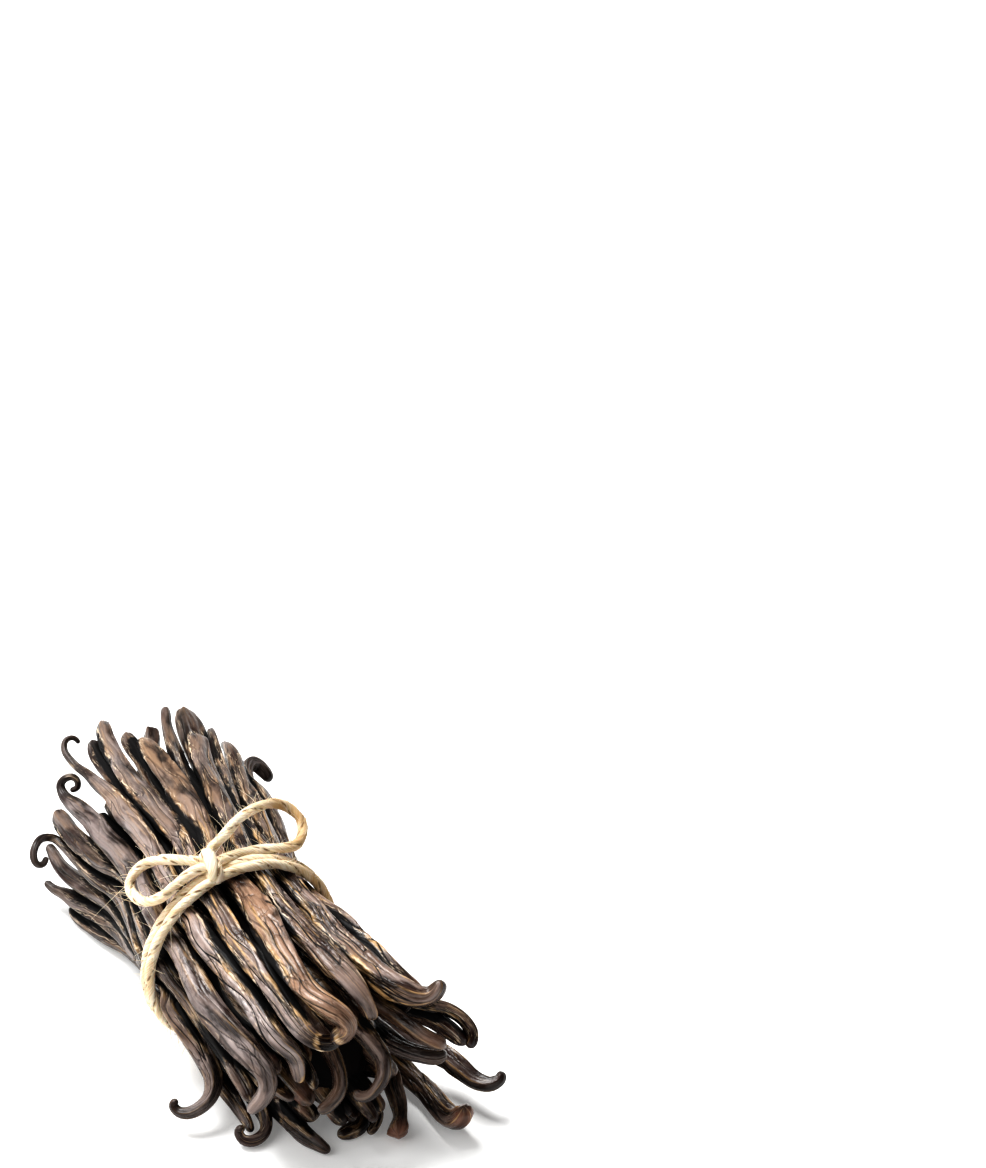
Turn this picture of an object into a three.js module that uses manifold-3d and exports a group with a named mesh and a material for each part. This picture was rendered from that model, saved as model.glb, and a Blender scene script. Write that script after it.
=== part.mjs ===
// A bundle of cured vanilla pods, tied round the waist with two turns of jute twine and a bow.
// Millimetres, +Z up, +Y along the pods towards their far ends. The origin is the middle of the
// floor of the bundle's box; every place below is measured from the middle of the tie, with its
// z above the floor.

import * as THREE from 'three';
import { mergeVertices } from 'three/addons/utils/BufferGeometryUtils.js';
import Module from 'manifold-3d';

const wasm = await Module();
wasm.setup();

// Driving dimensions.
const TIE_HEIGHT = 31.5; // middle of the tie above the floor
const TIE_PLACE = [-9.4, -20.5]; // middle of the tie, from the middle of the bundle's floor
const TIE_STRAIGHT = 4; // every pod runs straight this far to each side of the tie
const RINGS = {
  // The rings that the middles of the pods lie on inside the tie, and the pods' radius there.
  outer: { radius: 23.2, podRadius: 3.8, sides: 7 },
  middle: { radius: 15, podRadius: 3.6, sides: 6 },
  inner: { radius: 7.6, podRadius: 3.4, sides: 5 },
};
const POD_FLATNESS = 0.95; // a pod's height as a share of its width
const TWINE_RADIUS = 1.5;
const TWINE_SIDES = 7;
const BAND_RADIUS = 28.2; // middle of the twine, round the pods
const BAND_SPACING = 2.8; // between the two turns
const CLEARANCE = 0.3; // between the twine and the pods under it
const KNOT_TURN = { lift: 2.3, run: 3.4, width: 1.25 }; // radii of the turn that binds the bow
const KNOT_MIDDLE = [-6.6, 1.4, 61.6];
const KNOT_LEAN = 25; // degrees that the binding turn leans towards the far ends

// The filled middle of the bundle, out of sight: its y, then the middle of its section and half
// the section's size, across and up.
const CORE_ROWS = [
  [-40, 4, 26, 13, 15],
  [-24, 0.5, 29.5, 19, 20.5],
  [-8, 0, TIE_HEIGHT, 21.5, 21.5],
  [8, 0, TIE_HEIGHT, 21.5, 21.5],
  [28, 5.5, 29, 21.5, 20.5],
  [48, 9.5, 26, 21, 19],
  [66, 11, 25, 18, 15],
];

// A pod: its place round the tie in degrees, then two lists of stops, from the tie to its near tip
// and from the tie to its far tip. A stop is a point and the pod's radius there.
const OUTER_PODS = [
  [13,
   [[23, -20, 37, 3.7], [23.5, -36, 38, 3.6], [26, -48.5, 38, 3.2], [30, -55, 37.5, 2.6],
    [34, -57.5, 36, 2.3], [37, -61, 33.5, 2.2], [38, -63.5, 30.5, 2.1], [37, -64.5, 28, 1.9],
    [36, -64.5, 27, 1.3]],
   [[39, 64, 30, 3.5], [41.5, 81, 27, 3.2], [46, 88.5, 26, 2.6], [49.5, 90.5, 24, 2.5],
    [51.5, 88.5, 21.5, 2.4], [52.5, 86, 19, 1.6]]],
  [33,
   [[20.5, -21, 45.5, 3.9], [21.5, -32, 45.5, 3.9], [23, -41, 45, 3.7], [24.5, -47, 44, 3.4],
    [27, -51.5, 42, 2.8], [29, -53.5, 39.5, 1.8]],
   [[24.5, 33.5, 42, 3.8], [30.5, 57, 39, 3.4], [36, 75.5, 36, 2.8], [40, 88.5, 34, 2.2],
    [41, 95, 32, 1.4]]],
  [52,
   [[15.5, -23, 49.5, 3.9], [16, -33.5, 49, 4.1], [17, -43.5, 48.5, 4.3], [18.5, -51.5, 47.5, 4.2],
    [21, -57, 47, 3.6], [23.5, -60, 46.5, 3], [26.5, -62, 47, 2.5], [28.5, -62.5, 49, 2.2],
    [29.5, -62, 51, 1.7]],
   [[17.5, 34, 46.5, 3.8], [24, 57, 43, 3.3], [31, 78.5, 40, 2.5], [35.5, 91.5, 38.5, 2.1],
    [37.5, 96.5, 37.5, 1.4]]],
  [72,
   [[6.5, -23.5, 52.5, 4], [7, -33, 52, 4.1], [7.5, -41.5, 51.5, 4.1], [9, -48, 50.5, 3.8],
    [10, -52.5, 48.5, 3.2], [11, -54.5, 45.5, 2.7], [11.5, -55.5, 42.5, 2.4], [11, -55.5, 41, 1.4]],
   [[13.5, 33, 50.5, 3.9], [18.5, 54.5, 48.5, 3.9], [23, 71.5, 47, 3.7], [26, 81, 46, 3.2],
    [27, 85, 45, 2]]],
  [92,
   [[-2, -24, 54.5, 4.2], [-3, -35.5, 54, 4.2], [-3.5, -45.5, 53, 4.1], [-3, -53.5, 52.5, 3.9],
    [-1.5, -59, 51.5, 3.6], [0.5, -62, 50.5, 3.4], [1.5, -63, 48, 3.2], [0.5, -63, 45, 2.6],
    [-0.5, -62, 43, 1.5]],
   [[5.5, 35, 51.5, 4.1], [8, 52.5, 49.5, 4], [10, 70, 47.5, 3.7], [12, 85, 45.5, 3.3],
    [12.5, 93, 44, 2.2]]],
  [111,
   [[-10, -21, 52, 3.8], [-10, -30.5, 51, 3.9], [-9.5, -39, 50, 3.8], [-9, -46.5, 48.5, 3.5],
    [-8.5, -53, 47, 3.1], [-8, -57, 45.5, 2.6], [-6.5, -59.5, 44, 2.3], [-3.5, -60.5, 43, 2.2],
    [-0.5, -59.5, 43, 2], [1, -57.5, 44, 1.6]],
   [[-2.5, 27, 51.5, 3.8], [-2, 41, 50, 3.8], [-1, 55, 48.5, 3.7], [-0.5, 68.5, 47, 3.6],
    [1, 83, 45.5, 3.3], [3, 96, 44, 3], [5.5, 105.5, 43, 2.9], [8, 110.5, 42, 1.9]]],
  [130,
   [[-15.5, -11, 49, 4], [-15, -21, 47.5, 4], [-14.5, -31, 46, 4], [-14, -40.5, 44, 3.8],
    [-14, -47.5, 42, 3.5], [-13, -51.5, 40, 3.1], [-11, -52.5, 37.5, 2.8], [-9, -52.5, 33, 2.4],
    [-9, -53.5, 29.5, 2], [-9.5, -54, 27, 1.3]],
   [[-9.5, 38, 48, 3.5], [-8.5, 54, 46.5, 3.4], [-7.5, 68.5, 45, 3], [-8, 78.5, 44, 2.5],
    [-8.5, 86.5, 43.5, 1.7], [-9.5, 91, 43.5, 1.4], [-10, 95, 44, 1.3], [-10, 99, 45, 1.2],
    [-8.5, 101.5, 46.5, 1.1], [-6.5, 101.5, 47, 1], [-5, 100.5, 46, 0.9], [-5, 100, 45, 0.8]]],
  [152,
   [[-20.5, -20.5, 40.5, 4.2], [-20.5, -30, 38, 4.2], [-19, -38.5, 35.5, 4.2], [-17.5, -44, 33, 4],
    [-16.5, -47.5, 30, 3.4], [-16.5, -49.5, 26.5, 2.9], [-18, -50, 23, 2.5], [-20, -49, 20, 2.1],
    [-21.5, -48.5, 18, 1.5]],
   [[-13.5, 47, 38.5, 3.9], [-14, 60.5, 37.5, 3.9], [-14, 73, 36.5, 3.6], [-14.5, 83, 35.5, 2.8],
    [-15, 89.5, 35.5, 2], [-14.5, 93, 37.5, 1.6], [-13, 92.5, 39.5, 1.4], [-11, 91.5, 40, 1.3],
    [-10, 90, 39, 1.2], [-10.5, 89.5, 37, 1.1], [-12.5, 90.5, 36, 1]]],
  [170,
   [[-23, -14.5, 33, 3.4], [-22, -23.5, 29.5, 3.3], [-21.5, -33, 26, 3.2], [-20.5, -40, 24, 2.8],
    [-20, -44.5, 22, 2.4], [-20, -47, 20.5, 1.6]],
   [[-13, 47, 31, 3.6], [-15, 59, 29.5, 3.6], [-16, 71.5, 28, 3.5], [-16.5, 83, 27, 3.2],
    [-16, 91, 26.5, 2.8], [-15.5, 95, 26.5, 1.9]]],
  [187,
   [[-24, -5.5, 26, 3.9], [-24, -12.5, 21.5, 3.9], [-22.5, -18.5, 17, 3.6], [-21.5, -22.5, 13.5, 3],
    [-22.5, -25.5, 11, 2.6], [-25, -27, 9, 2.3], [-28, -27.5, 7.5, 2], [-31.5, -27.5, 6.5, 1.8],
    [-33.5, -25, 6.5, 1.5], [-34, -24, 8, 1.3], [-33, -24.5, 9.5, 1.1]],
   [[-14.5, 52, 24, 3.8], [-16.5, 64.5, 22.5, 3.3], [-17.5, 75.5, 21.5, 2.6], [-18.5, 84, 21.5, 1.9],
    [-20, 88, 22.5, 1.5], [-23.5, 88, 24, 1.4], [-27, 85, 24.5, 1.3], [-29, 82.5, 23, 1.3],
    [-29, 80.5, 21, 1.2], [-26.5, 81.5, 19.5, 1.2], [-24.5, 83.5, 20, 1]]],
  [204,
   [[-18.5, -8, 19.5, 3.4], [-16, -17, 14.5, 3.3], [-14, -25, 11, 3], [-13, -31, 9.5, 2.2]],
   [[-14.5, 54.5, 17, 3.7], [-16.5, 66, 15, 3.6], [-19, 77, 13.5, 3.2], [-19.5, 86, 13, 2.6],
    [-19, 92.5, 13.5, 2], [-19, 96.5, 14.5, 1.5]]],
  [221,
   [[-17, -12, 10.5, 3.4], [-17.5, -23, 6.5, 2.8], [-17, -29.5, 4.5, 2.2], [-17, -36, 3, 1.7],
    [-17.5, -39.5, 2.5, 1.1]],
   [[-15.5, 54.5, 10.5, 3.6], [-17.5, 66, 8.5, 3.4], [-20, 74, 7.5, 2.8], [-21.5, 80, 7, 2.1],
    [-23, 85, 6.5, 1.6], [-24, 88.5, 7.5, 1.2]]],
  [239,
   [[-11, -14, 8, 3.5], [-11.5, -28, 5.5, 3.2], [-12, -32.5, 5, 2.7], [-12.5, -38, 4, 2.3],
    [-14.5, -41.5, 2.5, 2], [-18.5, -42.5, 2, 1.9], [-21, -41, 2.5, 1.6], [-21, -39, 4, 1.4],
    [-20, -40, 5.5, 1.2]],
   [[-14, 50, 5, 3.5], [-17.5, 64, 3.5, 3.5], [-19.5, 74, 2.5, 3], [-20, 78.5, 2.5, 2]]],
  [257,
   [[-5.5, -20, 6.5, 3.6], [-8, -33.5, 4, 3.1], [-6.5, -41.5, 2.5, 2.8], [-5.5, -48.5, 2, 2.5],
    [-4, -53.5, 1.5, 1.7], [-2, -57, 1, 0.8]],
   [[-9, 48, 3.5, 3.7], [-10.5, 62, 3, 3.6], [-12, 72, 2.5, 3], [-12.5, 76, 2, 2]]],
  [275,
   [[2.5, -22, 5.5, 3.7], [6, -36, 4, 3.4], [9.5, -44.5, 3, 3.1], [10.5, -49.5, 2.5, 2.8],
    [8.5, -52, 2, 2.5], [5, -52.5, 2, 2.2], [2, -52.5, 2, 1.4]],
   [[-1.5, 45, 3.5, 3.7], [-2.5, 62, 3, 3.6], [-3, 76, 2.5, 2.8]]],
  [293,
   [[8, -20, 9.5, 3.6], [12, -32, 9.5, 3.2], [22.5, -48, 10.5, 2.4], [22.5, -51, 8, 2],
    [21, -54.5, 5.5, 1.9], [19, -57, 4, 2.2], [17, -59.5, 3, 3.3], [16, -61.5, 3, 3.2]],
   [[6, 42, 3.5, 3.7], [6.5, 62, 3, 3.6], [7, 80, 2.5, 2.8]]],
  [311,
   [[22.5, -29, 8, 3.8], [25.5, -39.5, 5, 3.6], [28, -48, 3.5, 3.5], [29, -55, 3, 3.4],
    [29.5, -61.5, 3, 3.4], [30, -66, 3, 3.3], [31.5, -68, 5, 2.4], [33, -68, 8, 1.4]],
   [[14, 38, 3.5, 3.8], [15.5, 60, 3, 3.6], [17, 82, 2.5, 2.8]]],
  [330,
   [[22.5, -19, 17, 3.8], [26.5, -33, 14.5, 3.7], [30.5, -42.5, 12.5, 3.5], [33, -50.5, 11, 3.2],
    [35.5, -56.5, 9.5, 2.8], [38, -60.5, 9, 2.4], [41.5, -63, 9, 2.2], [44.5, -64.5, 10, 2],
    [47, -64.5, 11.5, 1.7], [47.5, -63.5, 13, 1.2]],
   [[24, 32, 9, 3.8], [27, 54, 4, 3.6], [29, 76, 3, 3.2], [30, 84, 2.5, 2.2]]],
  [350,
   [[21, -20, 25, 3.6], [19, -38.5, 24.5, 3.2], [19.5, -50.5, 25.5, 2.8], [21.5, -56.5, 26, 2.6],
    [24.5, -60, 26, 2.6], [28, -62, 25.5, 2.5], [31, -62, 25.5, 1.8]],
   [[32.5, 37, 21, 3.7], [37.5, 58.5, 17, 3.4], [42, 77, 14, 2.4], [45.5, 87.5, 13.5, 1.5],
    [48, 91, 15, 1.1], [49.5, 92, 17, 0.9]]],
];
const MIDDLE_PODS = [
  [20,
   [[16.5, -26.5, 37, 3.6], [19, -39, 37.5, 3.1], [20.5, -47, 38, 2.5], [22, -51.5, 38, 2],
    [23.5, -53.5, 38.5, 1.8], [24.5, -54, 40, 1.3]],
   [[29.5, 49, 35, 3.5], [35, 71.5, 32, 3.2], [38.5, 82.5, 31, 2.5]]],
  [47,
   [[13, -27, 40.5, 3.7], [15, -39, 39.5, 3.4], [17.5, -49, 38.5, 3], [20, -55.5, 37.5, 2.8],
    [22, -61.5, 36.5, 2.7], [24, -65.5, 35.5, 2.6], [26, -67.5, 34.5, 2.5], [27, -68.5, 33.5, 1.7]],
   [[22.5, 53, 38, 3.6], [27, 76.5, 38, 3.8], [29.5, 91, 40.5, 3.9], [32.5, 101.5, 41.5, 3.6],
    [34.5, 106, 41.5, 2.4]]],
  [78,
   [[5, -35, 42.5, 3.6], [7, -44.5, 40, 3.6], [9, -51, 37.5, 3.6], [10.5, -56, 34.5, 3.6],
    [11, -60.5, 31, 3.4], [10, -63, 27.5, 2.9], [8, -63.5, 24.5, 2.3], [6, -62.5, 22, 1.9],
    [4.5, -60.5, 21.5, 1.5], [4.5, -60, 22.5, 1]],
   [[13, 49, 44, 3.6], [15.5, 67, 44.5, 3.3], [18.5, 81.5, 46, 2.7], [21.5, 93, 46, 2.1],
    [24.5, 100.5, 46, 1.9], [25.5, 103, 46, 1.3]]],
  [101,
   [[-3, -29, 40, 3.6], [-1, -41, 37, 3.4], [0.5, -48.5, 34, 3], [1, -54, 31, 2.6], [0.5, -58, 28, 2.3],
    [-1, -60.5, 25.5, 2.2], [-4, -61.5, 23.5, 2], [-6.5, -61.5, 22.5, 1.9], [-7.5, -60.5, 22.5, 1.2]],
   [[6.5, 49.5, 42.5, 3.6], [8.5, 69, 41.5, 3.5], [9.5, 85, 41.5, 3.1], [10.5, 97.5, 41.5, 3],
    [11.5, 102, 41.5, 2]]],
  [129,
   [[-12, -22, 37, 3.6], [-9.5, -34, 34, 3.4], [-7, -43, 31, 3], [-5.5, -50, 28, 2.4],
    [-5.5, -54, 26, 2.1], [-6, -56.5, 25, 1.4]],
   [[-2.5, 48, 43, 3.6], [-1.5, 63.5, 42, 3.6], [-1, 78.5, 41.5, 3.4], [-1, 91, 41, 3],
    [0, 99.5, 41, 2.7], [1.5, 105, 40.5, 1.8]]],
  [157,
   [[-13, -18, 32, 3.6], [-13, -34, 28, 3.5], [-12, -42, 26, 3], [-11.5, -46, 25, 2]],
   [[-7, 50, 33, 3.6], [-8, 66, 31.5, 3.5], [-9, 80, 31, 2.6]]],
  [184,
   [[-17, -25, 24, 3.5], [-14, -36.5, 22, 3.2], [-12.5, -44.5, 21, 2.5], [-11, -49.5, 20, 1.9],
    [-10, -51.5, 19.5, 1.2]],
   [[-8.5, 54.5, 22, 3.6], [-10, 68.5, 20, 3.4], [-11, 77.5, 19, 2.4]]],
  [212,
   [[-11, -18, 16, 3.5], [-9, -32, 13, 3.4], [-8, -41, 12, 2.6]],
   [[-7, 54.5, 14, 3.6], [-9, 68.5, 12, 3.2], [-10.5, 76, 11, 2.4]]],
  [240,
   [[-6, -20, 13, 3.5], [-3, -36, 10, 3.4], [-4, -40.5, 8, 3.1], [-3, -46.5, 7, 2.5],
    [-3, -48.5, 6.5, 1.6]],
   [[-1, 51, 12, 3.6], [-3, 64.5, 11, 3.2]]],
  [268,
   [[0, -20, 12, 3.5], [4, -38, 10, 3.4], [5, -47.5, 9, 3], [6, -53, 8.5, 2.4], [6, -55.5, 8, 1.5]],
   [[5, 44.5, 14, 3.6], [3.5, 59.5, 13, 3.2]]],
  [295,
   [[6, -20, 15.5, 3.5], [10, -38, 14.5, 3.2], [9, -50.5, 12, 2.7], [9.5, -56.5, 11, 2.3],
    [9.5, -61, 10.5, 1.5]],
   [[13.5, 42.5, 14, 3.6], [13, 58.5, 13, 3.2]]],
  [322,
   [[13.5, -20, 17, 3.4], [16, -30, 10, 3.1], [14.5, -46, 4.5, 3], [14.5, -51.5, 3.5, 2.4],
    [12, -55, 2.5, 1.5], [9.5, -56.5, 2.5, 1.2]],
   [[22, 42.5, 16, 3.6], [23.5, 59.5, 15, 3.2]]],
  [350,
   [[19, -15, 30, 3.5], [22.5, -34, 32, 3.2], [25.5, -46.5, 33, 2.7], [30, -54, 33, 2.3],
    [33.5, -58, 31.5, 2.1], [35.5, -61.5, 29.5, 1.8], [36, -64, 28, 1.2]],
   [[29, 45, 25, 3.6], [33, 66, 23.5, 3.2], [35, 78, 22.5, 2.4]]],
];
const INNER_PODS = [
  [30,
   [[11.5, -25, 33, 3.5], [15.5, -42, 29, 3.4], [17, -47, 28, 2.4]],
   [[13, 40, 36, 3.5], [20, 72, 34, 3.4], [22, 80, 33, 2.4]]],
  [81,
   [[3, -25, 37, 3.5], [5.5, -42, 32, 3.4], [6, -47, 30.5, 2.4]],
   [[5, 45, 37.5, 3.5], [8, 62, 35.5, 3.4], [9.5, 82, 37, 3.1], [19.5, 101, 39.5, 2.8],
    [20, 103.5, 39.5, 1.8]]],
  [133,
   [[-5.5, -25, 32, 3.5], [-4, -42, 26.5, 3.4], [-3.5, -47, 25, 2.4]],
   [[-4, 45, 38, 3.5], [-4, 72, 36, 3.4], [-4, 80, 35.5, 2.4]]],
  [184,
   [[-8, -22, 25, 3.5], [-7, -36, 20, 3.4], [-6.5, -41, 18.5, 2.4]],
   [[-5, 45, 28, 3.5], [-5, 66, 26.5, 3.4], [-5, 74, 26, 2.4]]],
  [236,
   [[-4, -22, 19, 3.5], [0, -38, 16.5, 3.4], [1, -43, 15.5, 2.4]],
   [[0, 45, 20.5, 3.5], [1, 66, 19, 3.4], [1, 72, 18.5, 2.4]]],
  [287,
   [[4, -22, 20, 3.5], [8, -40, 18.5, 3.4], [9, -45, 18, 2.4]],
   [[7.5, 45, 21, 3.5], [9.5, 68, 19.5, 3.4], [10, 74, 19, 2.4]]],
  [339,
   [[10, -22, 25, 3.5], [14, -40, 22, 3.4], [15.5, -46, 21, 2.4]],
   [[17, 45, 26, 3.5], [23, 70, 24, 3.4], [24.5, 76, 23.5, 2.4]]],
];

// The bow: the middle line of each loop, from the knot round and back to it.
const LEFT_LOOP = [
  [-6, 2, 62], [-11.5, 8, 61.5], [-16, 14, 59.5], [-20, 17.5, 57], [-23.5, 18, 53.5], [-25, 15.5, 51.5],
  [-25, 10, 52], [-23.5, 5, 54], [-20.5, 2.5, 56.5], [-16, 2.5, 59], [-11.5, 2.5, 61], [-7, 1.5, 62],
];
const RIGHT_LOOP = [
  [-6, 3, 63], [-4, 6, 64], [0.5, 7, 66], [6.5, 10.5, 67], [13, 13, 67], [19, 14.5, 65.5], [23.5, 14, 63],
  [25.5, 10.5, 60.5], [24.5, 7, 58.5], [21.5, 4, 57.5], [17.5, 3, 58], [10, 4, 59.5], [2.5, 3.5, 61],
  [-6, 1.5, 62],
];

// A pod's middle line from its near tip to its far one, about a millimetre from point to point, with
// its radius at each point.
function podLine([degrees, near, far], ring) {
  const angle = THREE.MathUtils.degToRad(degrees);
  const x = ring.radius * Math.cos(angle);
  const z = TIE_HEIGHT + ring.radius * Math.sin(angle);
  const underTie = [-TIE_STRAIGHT, TIE_STRAIGHT].map((y) => [x, y, z, ring.podRadius]);
  const stops = [...[...near].reverse(), ...underTie, ...far];
  const curve = new THREE.CatmullRomCurve3(stops.map(([px, py, pz]) => new THREE.Vector3(px, py, pz)));
  const last = stops.length - 1;
  const line = [];
  for (let k = 0; k < last; k += 1) {
    const steps = Math.max(2, Math.round(curve.points[k].distanceTo(curve.points[k + 1])));
    for (let j = 0; j < steps; j += 1) {
      const radius = THREE.MathUtils.lerp(stops[k][3], stops[k + 1][3], j / steps);
      line.push({ point: curve.getPoint((k + j / steps) / last), radius });
    }
  }
  line.push({ point: curve.points[last], radius: stops[last][3] });
  return line;
}

// Picks the points of a dense line that a faceted tube needs: both ends, one just inside each,
// and between them one for every long straight step or sharp enough turn.
function podStops(line) {
  const LONGEST_STEP = 15;
  const SHARPEST_TURN = THREE.MathUtils.degToRad(30);
  const JUST_INSIDE = 1.2;
  const TIP_SHARE = 0.6; // a tip's radius, as a share of the pod's radius just inside it
  const last = line.length - 1;
  const distances = [0];
  for (let k = 1; k <= last; k += 1) {
    distances.push(distances[k - 1] + line[k].point.distanceTo(line[k - 1].point));
  }
  const total = distances[last];
  const heading = (k) => {
    const [before, after] = [line[Math.max(k - 1, 0)], line[Math.min(k + 1, last)]];
    return after.point.clone().sub(before.point).normalize();
  };
  const inside = distances.findIndex((distance) => distance >= JUST_INSIDE);
  const lastInside = distances.findLastIndex((distance) => distance <= total - JUST_INSIDE);
  const kept = [0, inside];
  for (let k = inside + 1; k < lastInside; k += 1) {
    const anchor = kept.at(-1);
    const far = distances[k] - distances[anchor] >= LONGEST_STEP;
    if (far || heading(k).angleTo(heading(anchor)) >= SHARPEST_TURN) kept.push(k);
  }
  kept.push(lastInside, last);
  return kept.map((k) => ({
    point: line[k].point,
    heading: heading(k),
    radius: line[k].radius * (k === 0 || k === last ? TIP_SHARE : 1),
  }));
}

// A closed tube through the stops: a cylinder bent along them, with its own radius at each one.
function tube(stops, sides, flatness = 1) {
  const lastStop = stops.length - 1;
  const geometry = new THREE.CylinderGeometry(1, 1, 1, sides, lastStop);
  let normal = new THREE.Vector3(0, 0, 1);
  const frames = stops.map(({ point, heading }) => {
    normal = normal.clone().addScaledVector(heading, -normal.dot(heading)).normalize();
    return { normal, side: heading.clone().cross(normal) };
  });
  const position = geometry.attributes.position;
  for (let i = 0; i < position.count; i += 1) {
    const k = Math.round((position.getY(i) + 0.5) * lastStop);
    const { point, radius } = stops[k];
    const place = point
      .clone()
      .addScaledVector(frames[k].normal, position.getZ(i) * radius * flatness)
      .addScaledVector(frames[k].side, position.getX(i) * radius);
    position.setXYZ(i, place.x, place.y, place.z);
  }
  return geometry;
}

// A closed geometry as a solid.
function solid(geometry) {
  geometry.deleteAttribute('normal');
  geometry.deleteAttribute('uv');
  const merged = mergeVertices(geometry, 1e-4);
  return new wasm.Manifold(
    new wasm.Mesh({
      numProp: 3,
      vertProperties: new Float32Array(merged.attributes.position.array),
      triVerts: new Uint32Array(merged.index.array),
    }),
  );
}

// The largest body of a solid, without loose scraps and without the hollows that joining sealed.
function mainBody(whole) {
  return whole.decompose().reduce((best, body) => (body.volume() > best.volume() ? body : best));
}

function geometryOf(body) {
  const mesh = body.getMesh();
  const geometry = new THREE.BufferGeometry();
  geometry.setAttribute('position', new THREE.BufferAttribute(mesh.vertProperties, 3));
  geometry.setIndex(new THREE.BufferAttribute(mesh.triVerts, 1));
  return geometry;
}

// The filled middle of the bundle, through its rows.
function coreSolid() {
  const SIDES = 14;
  const lastRow = CORE_ROWS.length - 1;
  const geometry = new THREE.CylinderGeometry(1, 1, 1, SIDES, lastRow);
  const position = geometry.attributes.position;
  for (let i = 0; i < position.count; i += 1) {
    const row = Math.round((position.getY(i) + 0.5) * lastRow);
    const [y, x, z, halfWidth, halfHeight] = CORE_ROWS[row];
    position.setXYZ(i, x + position.getX(i) * halfWidth, y, z + position.getZ(i) * halfHeight);
  }
  return solid(geometry);
}

// The floor: everything under z = 0.
function floorSolid() {
  const SPAN = 400;
  const slab = new THREE.BoxGeometry(SPAN, SPAN, 20);
  slab.translate(0, 0, -10);
  return solid(slab);
}

// A strand of twine along points, as thick as asked.
function strand(points, radius, steps) {
  const curve = new THREE.CatmullRomCurve3(points.map((point) => new THREE.Vector3(...point)));
  const stops = Array.from({ length: steps + 1 }, (_, k) => ({
    point: curve.getPointAt(k / steps),
    heading: curve.getTangentAt(k / steps),
    radius,
  }));
  return solid(tube(stops, TWINE_SIDES));
}

// One turn round the pods: a ring about the Y axis.
function turnRound(y, radius) {
  const ring = new THREE.TorusGeometry(BAND_RADIUS, radius, TWINE_SIDES, 36);
  ring.rotateX(Math.PI / 2);
  ring.translate(0, y, TIE_HEIGHT);
  return solid(ring);
}

// The short turn that binds the bow: a ring that stands across the loops, pressed flat.
function knotTurn(thickness) {
  const MIDDLE_RADIUS = 2; // of the plain ring that is reshaped; any radius above 1 does
  const ring = new THREE.TorusGeometry(MIDDLE_RADIUS, 1, TWINE_SIDES, 14);
  const position = ring.attributes.position;
  for (let i = 0; i < position.count; i += 1) {
    const around = Math.atan2(position.getY(i), position.getX(i));
    const reach = (Math.hypot(position.getX(i), position.getY(i)) - MIDDLE_RADIUS) * thickness;
    const lift = (KNOT_TURN.lift + reach) * Math.sin(around);
    const run = (KNOT_TURN.run + reach) * Math.cos(around);
    position.setXYZ(i, position.getZ(i) * thickness * KNOT_TURN.width, run, lift);
  }
  ring.rotateX(THREE.MathUtils.degToRad(KNOT_LEAN));
  ring.translate(...KNOT_MIDDLE);
  return solid(ring);
}

// The lump inside the knot, where the twine crosses itself.
function knotHeart(thickness) {
  const lump = new THREE.SphereGeometry(1, 8, 6);
  lump.scale(KNOT_TURN.run + thickness * 0.3, KNOT_TURN.run, KNOT_TURN.lift + thickness * 0.4);
  lump.translate(...KNOT_MIDDLE);
  return solid(lump);
}

// All of the twine, each strand swollen by so much.
function twineSolid(swelling) {
  const radius = TWINE_RADIUS + swelling;
  return turnRound(-BAND_SPACING / 2, radius)
    .add(turnRound(BAND_SPACING / 2, radius))
    .add(strand(LEFT_LOOP, radius, 20))
    .add(strand(RIGHT_LOOP, radius, 24))
    .add(knotTurn(radius))
    .add(knotHeart(radius));
}

// A ring of pods, joined.
function ringOfPods(rows, ring) {
  return rows
    .map((row) => solid(tube(podStops(podLine(row, ring)), ring.sides, POD_FLATNESS)))
    .reduce((joined, pod) => joined.add(pod));
}

function podsSolid(twineRoom) {
  const joined = coreSolid()
    .add(ringOfPods(OUTER_PODS, RINGS.outer))
    .add(ringOfPods(MIDDLE_PODS, RINGS.middle))
    .add(ringOfPods(INNER_PODS, RINGS.inner));
  return mainBody(mainBody(joined.subtract(floorSolid())).subtract(twineRoom));
}

const pods = new THREE.Mesh(
  geometryOf(podsSolid(twineSolid(CLEARANCE))),
  new THREE.MeshStandardMaterial({ color: 0x3a2620, roughness: 0.5, metalness: 0 }),
);
pods.name = 'pods';

const twine = new THREE.Mesh(
  geometryOf(mainBody(twineSolid(0))),
  new THREE.MeshStandardMaterial({ color: 0xd9c190, roughness: 0.9, metalness: 0 }),
);
twine.name = 'twine';

const bundle = new THREE.Group();
bundle.add(pods, twine);
bundle.position.set(...TIE_PLACE, 0);
bundle.updateMatrixWorld(true);

export default bundle;
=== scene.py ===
"""A bundle of cured vanilla pods tied with jute twine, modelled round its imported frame.

Lengths in the code are millimetres from the middle of the tie, with z above the floor, as in the
part's own source; to_frame() turns them into metres in the frame. Each piece is an operator.
"""

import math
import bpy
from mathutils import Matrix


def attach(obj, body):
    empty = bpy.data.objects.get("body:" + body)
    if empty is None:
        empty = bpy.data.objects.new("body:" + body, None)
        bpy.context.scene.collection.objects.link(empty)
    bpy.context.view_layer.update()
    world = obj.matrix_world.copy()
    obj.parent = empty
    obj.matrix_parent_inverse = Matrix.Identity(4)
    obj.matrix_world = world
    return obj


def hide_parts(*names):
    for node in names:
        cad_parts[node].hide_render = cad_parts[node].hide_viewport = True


bl_info = {
    "name": "Vanilla Pod Bundle",
    "version": (1, 0, 0),
    "blender": (4, 5, 0),
    "location": "View3D > Sidebar > Vanilla",
    "description": "Models a tied bundle of cured vanilla pods around its frame",
    "category": "Object",
}

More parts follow.
